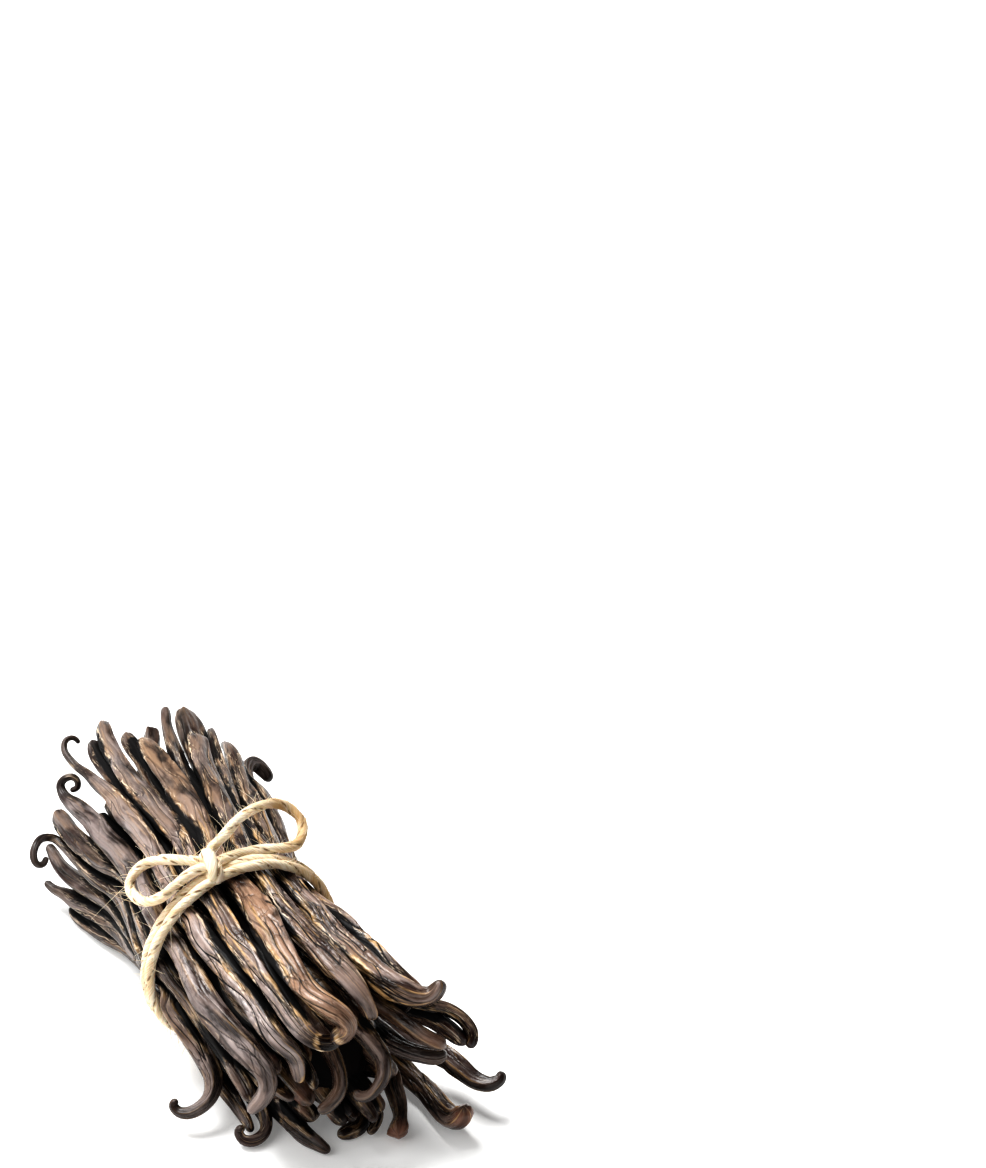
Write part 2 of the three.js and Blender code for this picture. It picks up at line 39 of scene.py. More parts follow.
import bpy
import numpy as np
from bpy.props import FloatProperty, FloatVectorProperty, IntProperty, PointerProperty, StringProperty
from bpy.types import Operator, Panel, PropertyGroup
from mathutils.kdtree import KDTree

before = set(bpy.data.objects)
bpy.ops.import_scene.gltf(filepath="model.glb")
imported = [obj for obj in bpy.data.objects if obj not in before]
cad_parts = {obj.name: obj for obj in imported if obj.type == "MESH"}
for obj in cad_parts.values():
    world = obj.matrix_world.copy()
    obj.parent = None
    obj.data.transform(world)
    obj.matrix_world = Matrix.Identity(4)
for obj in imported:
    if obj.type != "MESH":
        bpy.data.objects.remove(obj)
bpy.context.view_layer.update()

MM = 0.001

# The bundle's sizes, as the part's source has them.
TIE_PLACE = (-9.4, -20.5)  # middle of the tie, from the middle of the bundle's floor
TIE_HEIGHT = 31.5
# Rings that the middles of the pods lie on inside the tie, and the pods' radius there.
OUTER_RING = (23.2, 3.8)
MIDDLE_RING = (15.0, 3.6)
INNER_RING = (7.6, 3.4)
TIE_STRAIGHT = 4.0  # every pod runs straight this far to each side of the tie
POD_FLATNESS = 0.95  # a pod's height as a share of its width
SKIN_SHARE = 0.9  # a pod's radius before its ridges, as a share of the solid's
FLAT_SIDES = 5  # nearly flat sides of a pod's section, and how sharply they meet
FLAT_SHARPNESS = 13
TIP_LENGTH = 3.0  # where a tip's rings of points lie close together
FLOOR_CLEARANCE = 0.02
TWINE_RADIUS = 1.5
BAND_RADIUS = 28.2
BAND_SPACING = 2.8
KNOT_TURN = (2.3, 3.4)  # radii of the turn that binds the bow, up and along the pods
KNOT_MIDDLE = (-6.6, 1.4, 61.6)
KNOT_LEAN = 25.0
KNOT_THICKNESS = 1.4  # the binding turn's, as a share of the twine's
PLY_RADIUS, PLY_OFFSET = 0.78, 0.23  # as shares of the twine's radius
HAIR_RADIUS = 0.085
HAIR_LENGTHS = (1.5, 7.0)

# The camera's place and aim in the same millimetres, and its long lens.
CAMERA_PLACE = (-237.5, -533.4, 487.2)
CAMERA_FORWARD = (0.44504, 0.74094, -0.50294)
CAMERA_LENS = 80.14  # mm
CAMERA_FRAME = 36  # mm, its taller side

# Where each light comes from, as degrees round the bundle and up, and how wide it is in degrees.
KEY_FROM, KEY_SPREAD = (-12, 62), 32
FILL_FROM, FILL_SPREAD = (285, 42), 60
FLOOR_SIZE = 6  # metres

# The filled middle, a little inside the part's own: its y, then the middle of its section and half
# the section's size, across and up.
CORE_ROWS = [
    (-47, 8, 15, 5, 4),
    (-44, 7, 18, 10, 9),
    (-38, 4, 26, 12, 13.5),
    (-24, 0.5, 29.5, 17.5, 19),
    (-8, 0, TIE_HEIGHT, 20, 20),
    (8, 0, TIE_HEIGHT, 20, 20),
    (28, 5.5, 29, 20, 19),
    (48, 9.5, 26, 19.5, 17.5),
    (64, 11, 25, 16.5, 13.5),
]

# A pod: its place round the tie in degrees, then two lists of stops, from the tie to its near tip
# and from the tie to its far tip. A stop is a point and the pod's radius there.
OUTER_PODS = [
    (13,
     [(23, -20, 37, 3.7), (23.5, -36, 38, 3.6), (26, -48.5, 38, 3.2), (30, -55, 37.5, 2.6),
      (34, -57.5, 36, 2.3), (37, -61, 33.5, 2.2), (38, -63.5, 30.5, 2.1), (37, -64.5, 28, 1.9),
      (36, -64.5, 27, 1.3)],
     [(39, 64, 30, 3.5), (41.5, 81, 27, 3.2), (46, 88.5, 26, 2.6), (49.5, 90.5, 24, 2.5),
      (51.5, 88.5, 21.5, 2.4), (52.5, 86, 19, 1.6)]),
    (33,
     [(20.5, -21, 45.5, 3.9), (21.5, -32, 45.5, 3.9), (23, -41, 45, 3.7), (24.5, -47, 44, 3.4),
      (27, -51.5, 42, 2.8), (29, -53.5, 39.5, 1.8)],
     [(24.5, 33.5, 42, 3.8), (30.5, 57, 39, 3.4), (36, 75.5, 36, 2.8), (40, 88.5, 34, 2.2),
      (41, 95, 32, 1.4)]),
    (52,
     [(15.5, -23, 49.5, 3.9), (16, -33.5, 49, 4.1), (17, -43.5, 48.5, 4.3), (18.5, -51.5, 47.5, 4.2),
      (21, -57, 47, 3.6), (23.5, -60, 46.5, 3), (26.5, -62, 47, 2.5), (28.5, -62.5, 49, 2.2),
      (29.5, -62, 51, 1.7)],
     [(17.5, 34, 46.5, 3.8), (24, 57, 43, 3.3), (31, 78.5, 40, 2.5), (35.5, 91.5, 38.5, 2.1),
      (37.5, 96.5, 37.5, 1.4)]),
    (72,
     [(6.5, -23.5, 52.5, 4), (7, -33, 52, 4.1), (7.5, -41.5, 51.5, 4.1), (9, -48, 50.5, 3.8),
      (10, -52.5, 48.5, 3.2), (11, -54.5, 45.5, 2.7), (11.5, -55.5, 42.5, 2.4), (11, -55.5, 41, 1.4)],
     [(13.5, 33, 50.5, 3.9), (18.5, 54.5, 48.5, 3.9), (23, 71.5, 47, 3.7), (26, 81, 46, 3.2),
      (27, 85, 45, 2)]),
    (92,
     [(-2, -24, 54.5, 4.2), (-3, -35.5, 54, 4.2), (-3.5, -45.5, 53, 4.2), (-3, -53.5, 52.5, 4.1),
      (-1, -59, 51.5, 4), (0.5, -61.5, 50.5, 3.6), (1.5, -62.5, 48, 3), (0.5, -62.5, 45.5, 2.6),
      (-2, -62, 44.5, 2.2), (-3.5, -62, 44, 1.6)],
     [(5.5, 35, 51.5, 4.1), (8, 52.5, 49.5, 4), (10, 70, 47.5, 3.7), (12, 85, 45.5, 3.3),
      (12.5, 93, 44, 2.2)]),
    (111,
     [(-10, -21, 52, 3.8), (-10, -30.5, 51, 3.9), (-9.5, -39, 50, 3.8), (-9, -46.5, 48.5, 3.5),
      (-8.5, -53, 47, 3.1), (-8, -57, 45.5, 2.6), (-6.5, -59, 44, 2.3), (-4.5, -60, 43, 2.3),
      (-2, -60, 42.5, 2.1), (0, -58, 42.5, 1.5)],
     [(-2.5, 27, 51.5, 3.8), (-2, 41, 50, 3.8), (-1, 55, 48.5, 3.7), (-0.5, 68.5, 47, 3.6),
      (1, 83, 45.5, 3.3), (3, 96, 44, 3), (5.5, 105.5, 43, 2.9), (8, 110.5, 42, 1.9)]),
    (130,
     [(-15.5, -11, 49, 4), (-15, -21, 47.5, 4), (-14.5, -31, 46, 4), (-14, -40.5, 44, 3.8),
      (-14, -47.5, 42, 3.5), (-13, -51.5, 40, 3.1), (-11, -52.5, 37.5, 2.8), (-9, -52.5, 33, 2.4),
      (-9, -53.5, 29.5, 2), (-9.5, -54, 27, 1.3)],
     [(-9.5, 38, 48, 3.5), (-8.5, 54, 46.5, 3.4), (-7.5, 68.5, 45, 3), (-8, 78.5, 44, 2.5),
      (-8.5, 86.5, 43.5, 1.7), (-9.5, 91, 43.5, 1.4), (-10, 95, 44, 1.3), (-10, 99, 45, 1.2),
      (-8.5, 101.5, 46.5, 1.1), (-6.5, 101.5, 47, 1), (-5, 100.5, 46, 0.9), (-5, 100, 45, 0.8)]),
    (152,
     [(-21.5, -20, 40.5, 4.1), (-21, -29, 38, 4.2), (-19.5, -37.5, 35.5, 4.2), (-18, -43.5, 33, 4),
      (-16.5, -47.5, 30, 3.5), (-16.5, -49.5, 26.5, 3), (-18, -50, 23, 2.6), (-20.5, -49, 20, 2.1),
      (-21.5, -48, 18, 1.5)],
     [(-13.5, 47, 38.5, 3.9), (-14, 60.5, 37.5, 3.9), (-14, 73, 36.5, 3.6), (-14.5, 83, 35.5, 2.8),
      (-15, 89.5, 35.5, 2), (-14.5, 93, 37.5, 1.6), (-13, 92.5, 39.5, 1.4), (-11, 91.5, 40, 1.3),
      (-10, 90, 39, 1.2), (-10.5, 89.5, 37, 1.1), (-12.5, 90.5, 36, 1)]),
    (170,
     [(-20.5, -11.5, 30, 3.2), (-19.5, -20, 25.5, 3.1), (-18.5, -29, 22, 3), (-19, -37, 20.5, 2.8),
      (-19, -41.5, 19, 2.4), (-19.5, -44.5, 18, 1.6)],
     [(-13, 47, 31, 3.6), (-15, 59, 29.5, 3.6), (-16, 71.5, 28, 3.5), (-16.5, 83, 27, 3.2),
      (-16, 91, 26.5, 2.8), (-15.5, 95, 26.5, 1.9)]),
    (187,
     [(-24, -5.5, 26, 4), (-23, -13.5, 21.5, 4.1), (-21.5, -19, 17, 3.9), (-21, -23.5, 13.5, 3.4),
      (-22, -26.5, 11, 2.9), (-24.5, -28.5, 9, 2.5), (-28, -29, 7.5, 2.3), (-31, -28, 6.5, 2.1),
      (-33, -26, 6.5, 1.7), (-33.5, -24.5, 8, 1.5), (-32.5, -25, 9.5, 1.2)],
     [(-14.5, 52, 24, 3.8), (-16.5, 64.5, 22.5, 3.3), (-17.5, 75.5, 21.5, 2.6), (-18.5, 84, 21.5, 1.9),
      (-20, 88, 22.5, 1.5), (-23.5, 88, 24, 1.4), (-27, 85, 24.5, 1.3), (-29, 82.5, 23, 1.3),
      (-29, 80.5, 21, 1.2), (-26.5, 81.5, 19.5, 1.2), (-24.5, 83.5, 20, 1)]),
    (204,
     [(-18.5, -8, 19.5, 3.4), (-16, -17, 14.5, 3.3), (-14, -25, 11, 3), (-13, -31, 9.5, 2.2)],
     [(-14.5, 54.5, 17, 3.7), (-16.5, 66, 15, 3.6), (-19, 77, 13.5, 3.2), (-19.5, 86, 13, 2.6),
      (-19, 92.5, 13.5, 2), (-19, 96.5, 14.5, 1.5)]),
    (221,
     [(-17, -12, 10.5, 3.4), (-17.5, -23, 6.5, 2.8), (-17, -29.5, 4.5, 2.2), (-17, -36, 3, 1.7),
      (-17.5, -39.5, 2.5, 1.1)],
     [(-15.5, 54.5, 10.5, 3.6), (-17.5, 66, 8.5, 3.4), (-20, 74, 7.5, 2.8), (-21.5, 80, 7, 2.1),
      (-23, 85, 6.5, 1.6), (-24, 88.5, 7.5, 1.2)]),
    (239,
     [(-11, -14, 8, 3.5), (-11.5, -28, 5.5, 3.2), (-12, -32.5, 5, 2.7), (-12.5, -38, 4, 2.3),
      (-14.5, -41.5, 2.5, 2), (-18.5, -42.5, 2, 1.9), (-21, -41, 2.5, 1.6), (-21, -39, 4, 1.4),
      (-20, -40, 5.5, 1.2)],
     [(-14, 50, 5, 3.5), (-17.5, 64, 3.5, 3.5), (-19.5, 74, 2.5, 3), (-20, 78.5, 2.5, 2)]),
    (257,
     [(-5.5, -20, 6.5, 3.6), (-8, -33.5, 4, 3.1), (-7, -41, 3, 3.3), (-6, -48, 2.5, 2.9),
      (-4, -53, 2, 2.2), (-2.5, -56.5, 1.5, 1.3)],
     [(-9, 48, 3.5, 3.7), (-10.5, 62, 3, 3.6), (-12, 72, 2.5, 3), (-12.5, 76, 2, 2)]),
    (275,
     [(2.5, -22, 5.5, 3.7), (6, -36, 4, 3.4), (9.5, -44.5, 3, 3.1), (10.5, -49.5, 2.5, 2.8),
      (8.5, -52, 2, 2.5), (5, -52.5, 2, 2.2), (2, -52.5, 2, 1.4)],
     [(-1.5, 45, 3.5, 3.7), (-2.5, 62, 3, 3.6), (-3, 76, 2.5, 2.8)]),
    (293,
     [(8, -20, 9.5, 3.6), (12, -32, 9.5, 3.2), (22, -45.5, 10.5, 3.2), (21.5, -49.5, 8, 3.1),
      (21, -53, 5.5, 2.8), (19.5, -56.5, 4, 2.4), (18, -58.5, 3.5, 3.1), (16.5, -61, 3.5, 3.7),
      (15.5, -62.5, 3.5, 3.2)],
     [(6, 42, 3.5, 3.7), (6.5, 62, 3, 3.6), (7, 80, 2.5, 2.8)]),
    (311,
     [(26, -28.5, 8.5, 3.8), (28.5, -37.5, 6, 3.8), (30, -45.5, 4.5, 3.7), (31, -52.5, 4, 3.6),
      (31, -59.5, 3.5, 3.6), (31, -64.5, 4, 3.9), (31.5, -67.5, 6, 3.7), (32.5, -69, 9, 3.3),
      (32.5, -69, 11, 2.6)],
     [(14, 38, 3.5, 3.8), (15.5, 60, 3, 3.6), (17, 82, 2.5, 2.8)]),
    (330,
     [(22.5, -19, 17, 3.8), (27.5, -32.5, 15, 3.8), (33.5, -42, 13, 3.6), (37.5, -48.5, 11.5, 3.3),
      (39.5, -55, 10.5, 3), (41.5, -60.5, 9.5, 2.6), (44, -64, 10, 2.2), (46.5, -64.5, 11.5, 1.9),
      (47, -63.5, 13, 1.4)],
     [(24, 32, 9, 3.8), (27, 54, 4, 3.6), (29, 76, 3, 3.2), (30, 84, 2.5, 2.2)]),
    (350,
     [(21, -20, 25, 3.6), (19, -38.5, 24.5, 3.2), (19.5, -50.5, 25.5, 2.8), (21.5, -56.5, 26, 2.6),
      (24.5, -60, 26, 2.6), (28, -62, 25.5, 2.5), (31, -62, 25.5, 1.8)],
     [(32.5, 37, 21, 3.7), (37.5, 58.5, 17, 3.4), (42, 77, 14, 2.4), (45.5, 87.5, 13.5, 1.5),
      (48, 91, 15, 1.1), (49.5, 92, 17, 0.9)]),
]
MIDDLE_PODS = [
    (20,
     [(16.5, -26.5, 37, 3.6), (19, -39, 37.5, 3.1), (20.5, -47, 38, 2.5), (22, -51.5, 38, 2),
      (23.5, -53.5, 38.5, 1.8), (24.5, -54, 40, 1.3)],
     [(29.5, 49, 35, 3.5), (35, 71.5, 32, 3.2), (38.5, 82.5, 31, 2.5)]),
    (47,
     [(13, -27, 40.5, 3.7), (15, -39, 39.5, 3.4), (17.5, -49, 38.5, 3), (20, -55.5, 37.5, 2.8),
      (22, -61.5, 36.5, 2.7), (24, -65.5, 35.5, 2.6), (26, -67.5, 34.5, 2.5), (27, -68.5, 33.5, 1.7)],
     [(22.5, 53, 38, 3.6), (26.5, 76.5, 38, 4), (28.5, 91, 40.5, 4.1), (31, 101.5, 41.5, 3.8),
      (33, 106, 41.5, 2.6)]),
    (78,
     [(5, -35, 42.5, 3.6), (7, -44.5, 40, 3.6), (9, -51, 37.5, 3.5), (11, -57, 34.5, 3.2),
      (12, -61.5, 31, 3), (11, -63.5, 27.5, 2.7), (8.5, -64, 24.5, 2.1), (6, -63, 22, 1.8),
      (4.5, -61, 21.5, 1.7), (4.5, -59.5, 22.5, 1.3)],
     [(13, 49, 44, 3.6), (15.5, 67, 44.5, 3.3), (18.5, 81.5, 46, 2.7), (21.5, 93, 46, 2.1),
      (24.5, 100.5, 46, 1.9), (25.5, 103, 46, 1.3)]),
    (101,
     [(-3, -29, 40, 3.6), (-1, -41, 37, 3.4), (0.5, -48.5, 34, 3), (1, -54, 31, 2.6), (0.5, -58, 28, 2.3),
      (-1, -60.5, 25.5, 2.2), (-4, -61.5, 23.5, 2), (-6.5, -61.5, 22.5, 1.9), (-7.5, -60.5, 22.5, 1.2)],
     [(6.5, 49.5, 42.5, 3.6), (8.5, 69, 41.5, 3.5), (9.5, 85, 41.5, 3.1), (10.5, 97.5, 41.5, 3),
      (11.5, 102, 41.5, 2)]),
    (129,
     [(-12, -22, 37, 3.6), (-9.5, -34, 34, 3.4), (-7, -43, 31, 3), (-5.5, -50, 28, 2.4),
      (-5.5, -54, 26, 2.1), (-6, -56.5, 25, 1.4)],
     [(-2.5, 48, 43, 3.6), (-1.5, 63.5, 42, 3.6), (-1, 78.5, 41.5, 3.4), (-1, 91, 41, 3),
      (0, 99.5, 41, 2.7), (1.5, 105, 40.5, 1.8)]),
    (157,
     [(-13, -18, 32, 3.6), (-13, -34, 28, 3.5), (-12, -42, 26, 3), (-11.5, -46, 25, 2)],
     [(-7, 50, 33, 3.6), (-8, 66, 31.5, 3.5), (-9, 80, 31, 2.6)]),
    (184,
     [(-17, -25, 24, 3.5), (-14, -36.5, 22, 3.2), (-12.5, -44.5, 21, 2.5), (-11, -49.5, 20, 1.9),
      (-10, -51.5, 19.5, 1.2)],
     [(-8.5, 54.5, 22, 3.6), (-10, 68.5, 20, 3.4), (-11, 77.5, 19, 2.4)]),
    (212,
     [(-11, -18, 16, 3.5), (-9, -32, 13, 3.4), (-8, -41, 12, 2.6)],
     [(-7, 54.5, 14, 3.6), (-9, 68.5, 12, 3.2), (-10.5, 76, 11, 2.4)]),
    (240,
     [(-6, -20, 13, 3.5), (-3, -36, 10, 3.4), (-4, -40.5, 8, 3.1), (-3, -46.5, 7, 2.5),
      (-3, -48.5, 6.5, 1.6)],
     [(-1, 51, 12, 3.6), (-3, 64.5, 11, 3.2)]),
    (268,
     [(0, -20, 12, 3.5), (4, -38, 10, 3.4), (5, -47.5, 9, 3), (6, -53, 8.5, 2.4), (6, -55.5, 8, 1.5)],
     [(5, 44.5, 14, 3.6), (3.5, 59.5, 13, 3.2)]),
    (295,
     [(6, -20, 15.5, 3.5), (10, -38, 14.5, 3.2), (9, -50.5, 12, 2.7), (9.5, -56.5, 11, 2.3),
      (9.5, -61, 10.5, 1.5)],
     [(13.5, 42.5, 14, 3.6), (13, 58.5, 13, 3.2)]),
    (322,
     [(13.5, -20, 17, 3.4), (16, -30, 10, 3.1), (14.5, -46, 4.5, 3), (14.5, -51.5, 3.5, 2.4),
      (12, -55, 2.5, 1.5), (9.5, -56.5, 2.5, 1.2)],
     [(22, 42.5, 16, 3.6), (23.5, 59.5, 15, 3.2)]),
    (350,
     [(19, -15, 30, 3.5), (22.5, -34, 32, 3.2), (25.5, -46.5, 33, 3.1), (30, -53.5, 33, 3.1),
      (33, -58.5, 31.5, 2.9), (35, -62, 29.5, 2.4), (36, -64.5, 28, 1.6)],
     [(29, 45, 25, 3.6), (33, 66, 23.5, 3.2), (35, 78, 22.5, 2.4)]),
]
INNER_PODS = [
    (30,
     [(11.5, -25, 33, 3.5), (15.5, -42, 29, 3.4), (17, -47, 28, 2.4)],
     [(13, 40, 36, 3.5), (20, 72, 34, 3.4), (22, 80, 33, 2.4)]),
    (81,
     [(3, -25, 37, 3.5), (5.5, -42, 32, 3.4), (6, -47, 30.5, 2.4)],
     [(5, 45, 37.5, 3.5), (8, 62, 35.5, 3.4), (9.5, 82, 37, 3.1), (19.5, 101, 39.5, 2.8),
      (20, 103.5, 39.5, 1.8)]),
    (133,
     [(-5.5, -25, 32, 3.5), (-4, -42, 26.5, 3.4), (-3.5, -47, 25, 2.4)],
     [(-4, 45, 38, 3.5), (-4, 72, 36, 3.4), (-4, 80, 35.5, 2.4)]),
    (184,
     [(-8, -22, 25, 3.5), (-7, -38, 20, 3.4), (-5, -48, 16, 3), (-4.5, -51, 15, 2)],
     [(-5, 45, 28, 3.5), (-5, 66, 26.5, 3.4), (-5, 74, 26, 2.4)]),
    (236,
     [(-4, -22, 19, 3.5), (1, -40, 14, 3.4), (3, -50, 8.5, 3), (3.5, -54, 6.5, 2)],
     [(0, 45, 20.5, 3.5), (1, 66, 19, 3.4), (1, 72, 18.5, 2.4)]),
    (287,
     [(4, -22, 20, 3.5), (9, -40, 16, 3.4), (13, -52, 10, 3.1), (14, -56, 7.5, 2.2)],
     [(7.5, 45, 21, 3.5), (9.5, 68, 19.5, 3.4), (10, 74, 19, 2.4)]),
    (339,
     [(10, -22, 25, 3.5), (16, -40, 20, 3.4), (19, -49, 17, 3), (20, -53, 15.5, 2)],
     [(17, 45, 26, 3.5), (23, 70, 24, 3.4), (24.5, 76, 23.5, 2.4)]),
]

# How each outer pod looks, in the order of its table, from 0 to 1: its bloom and painted sheen from
# grey to pinkish tan, how golden its edges are, how many wrinkles and straight lines, and how much
# bloom and painted sheen.
OUTER_LOOKS = [
    (0.4, 0.6, 0.6, 0.4), (0.6, 1.0, 1.0, 0.55), (0.6, 1.0, 0.9, 0.6), (0.5, 1.0, 0.6, 0.7),
    (0.95, 0.8, 0.3, 1.0), (0.3, 1.0, 0.5, 0.8), (0.3, 0.9, 0.5, 1.0), (0.1, 0.4, 0.3, 0.82),
    (0.4, 0.5, 0.5, 0.55), (0.3, 0.5, 0.5, 0.7), (0.2, 0.3, 0.5, 0.6), (0.3, 0.4, 0.5, 0.6),
    (0.3, 0.6, 0.5, 0.5), (0.5, 0.4, 0.8, 0.5), (0.6, 0.3, 0.5, 0.4), (0.9, 0.3, 0.5, 0.4),
    (0.8, 1.0, 0.7, 0.6), (0.2, 0.8, 0.6, 0.2), (0.5, 0.4, 0.5, 0.3),
]
INSIDE_LOOK = (0.7, 0.35, 0.15, 0.5)

# The bow: the middle line of each loop, from the knot round and back to it.
LEFT_LOOP = [
    (-6, 2, 62), (-11.5, 8, 61.5), (-16, 14, 59.5), (-20, 17.5, 57), (-23.5, 18, 53.5), (-25, 15.5, 51.5),
    (-25, 10, 52), (-23.5, 5, 54), (-20.5, 2.5, 56.5), (-16, 2.5, 59), (-11.5, 2.5, 61), (-7, 1.5, 62),
]
RIGHT_LOOP = [
    (-6, 3, 63), (-4, 6, 64), (0.5, 7, 66), (6.5, 10.5, 67), (13, 13, 67), (19, 14.5, 65.5), (23.5, 14, 63),
    (25.5, 10.5, 60.5), (24.5, 7, 58.5), (21.5, 4, 57.5), (17.5, 3, 58), (10, 4, 59.5), (2.5, 3.5, 61),
    (-6, 1.5, 62),
]


def linear(code):
    """An sRGB hex colour as linear red, green and blue."""
    channels = [int(code[k : k + 2], 16) / 255 for k in (0, 2, 4)]
    return tuple(c / 12.92 if c <= 0.04045 else ((c + 0.055) / 1.055) ** 2.4 for c in channels)


def colour(name, code, description):
    return FloatVectorProperty(
        name=name, description=description, subtype="COLOR", size=3, min=0, max=1, default=linear(code)
    )


class VanillaPodSettings(PropertyGroup):
    """The pods' skin: its wrinkles in millimetres and its colours."""

    ridge_width: FloatProperty(name="Ridge Width", description="Between two long creases", default=2.6, min=0.5)
    ridge_length: FloatProperty(name="Ridge Length", description="Along a ridge", default=26.0, min=2)
    crease_width: FloatProperty(name="Crease Width", description="Half width of a crease", default=0.4, min=0.05)
    crease_depth: FloatProperty(name="Crease Depth", description="Depth of the deepest crease", default=0.5, min=0)
    line_width: FloatProperty(name="Fine Line Spacing", description="Between two fine lines", default=1.15, min=0.2)
    line_length: FloatProperty(name="Fine Line Length", description="Along a fine line", default=9.0, min=1)
    skin_dark: colour("Dark Skin", "120805", "The skin's darkest chocolate brown")
    skin_brown: colour("Brown Skin", "2d1913", "The lighter brown between")
    # Partly grey bloom, partly painted sheen of the light, on flats that face up clear of other pods.
    skin_bloom_and_sheen: colour("Grey Bloom", "a0938f", "The greyish bloom on flats that stand proud")
    # Pinkish tan that tints the bloom and painted sheen on some flats.
    skin_blush_and_sheen: colour("Tan Flats", "957864", "Flats rubbed to a pinkish tan")
    skin_gold: colour("Golden Edge", "c4a072", "Where light comes through the thin edge of a fold")
    # Painted light as well: the edge glow, and the tint of the bloom and sheen on the flats, where the skin has
    # dried.
    skin_tan: colour("Dry Edge", "9a7f66", "The same edges where the skin has dried")
    # Partly wear, partly a painted highlight along the ridges.
    skin_cream_wear_and_glint: colour("Ridge Line", "dcc8ae", "Thin worn lines along the tops of ridges")
    skin_end: colour("Broken End", "85604f", "Reddish brown of a thick, blunt end")
    # Painted shade: near black in creases, in the fine lines, between pods and in the dark middle.
    skin_crease_shade: colour("Crease", "050303", "The bottom of a crease")


class VanillaTwineSettings(PropertyGroup):
    """The twine: its make in millimetres and its colours."""

    ply_pitch: FloatProperty(name="Ply Pitch", description="Length of one turn of the two plies", default=20.0, min=2)
    hair_count: IntProperty(name="Loose Hairs", description="Fibres that stand off the twine", default=640, min=0)
    # Painted shade in the grooves where the plies meet.
    straw_light: colour("Straw", "f9ead2", "Bleached jute")
    straw_dark: colour("Dark Straw", "dcc196", "Jute in the shade of its fibres")
    straw_groove_shade: colour("Groove", "83603a", "Darker jute where the plies meet")
    # Golden tan, more of it towards the right-hand side of the twine.
    straw_tan_towards_right: colour("Aged Straw", "b58e58", "Golden tan of twine that has aged in the light")


class VanillaStudioSettings(PropertyGroup):
    """The floor and the light."""

    floor: colour("Floor", "f0f0ef", "Pale floor")
    floor_glow: FloatProperty(name="Floor Glow", description="Light up through the floor", default=0.17, min=0)
    key_strength: FloatProperty(name="Key Light", description="The large soft light", default=3.85, min=0)
    fill_strength: FloatProperty(name="Fill Light", description="The weaker light", default=1.6, min=0)
    sky_strength: FloatProperty(name="Ambient Light", description="The white room's light", default=0.14, min=0)


SETTINGS = {
    "vanilla_pods": VanillaPodSettings,
    "vanilla_twine": VanillaTwineSettings,
    "vanilla_studio": VanillaStudioSettings,
}


# Shared maths.


def chance(i, salt):
    """A repeatable number from 0 to 1 for item i."""
    wave = math.sin(i * 12.9898 + salt * 78.233) * 43758.5453
    return wave - math.floor(wave)


def unit(v):
    v = np.asarray(v, float)
    return v / np.linalg.norm(v, axis=-1, keepdims=True)


def smooth_step(x):
    x = np.clip(x, 0, 1)
    return x * x * (3 - 2 * x)


def to_frame(points):
    """Millimetres from the middle of the tie as metres in the frame."""
    return (np.asarray(points, float) + np.array([*TIE_PLACE, 0.0])) * MM


def lengths_along(line):
    return np.concatenate([[0], np.cumsum(np.linalg.norm(np.diff(line, axis=0), axis=1))])


def resampled(line, places):
    """A line's points, and what else its columns hold, at these lengths along it."""
    along = lengths_along(line[:, :3])
    return np.stack([np.interp(places, along, column) for column in line.T], axis=1)


def carried_frames(line):
    """Heading, up and side at each point of a line, carried along it without twist."""
    headings = unit(np.gradient(line, axis=0))
    ups = np.empty_like(headings)
    up = np.array([0.0, 0.0, 1.0])
    for k, heading in enumerate(headings):
        up = unit(up - heading * (up @ heading))
        ups[k] = up
    return headings, ups, np.cross(headings, ups)


def curve_through(points, closed, step):
    """A smooth line through points, with a point every step."""
    p = np.asarray(points, float)
    count = len(p) if closed else len(p) - 1
    fine = []
    for k in range(count):
        if closed:
            a, b, c, d = (p[(k + j) % len(p)] for j in (-1, 0, 1, 2))
        else:
            a, b, c, d = p[max(k - 1, 0)], p[k], p[k + 1], p[min(k + 2, len(p) - 1)]
        t = np.linspace(0, 1, 24, endpoint=False)[:, None]
        fine.append(
            0.5 * (2 * b + (c - a) * t + (2 * a - 5 * b + 4 * c - d) * t**2 + (3 * b - a - 3 * c + d) * t**3)
        )
    fine = np.concatenate([*fine, p[:1] if closed else p[-1:]])
    total = lengths_along(fine)[-1]
    return resampled(fine, np.linspace(0, total, round(total / step) + 1))


# Meshes.


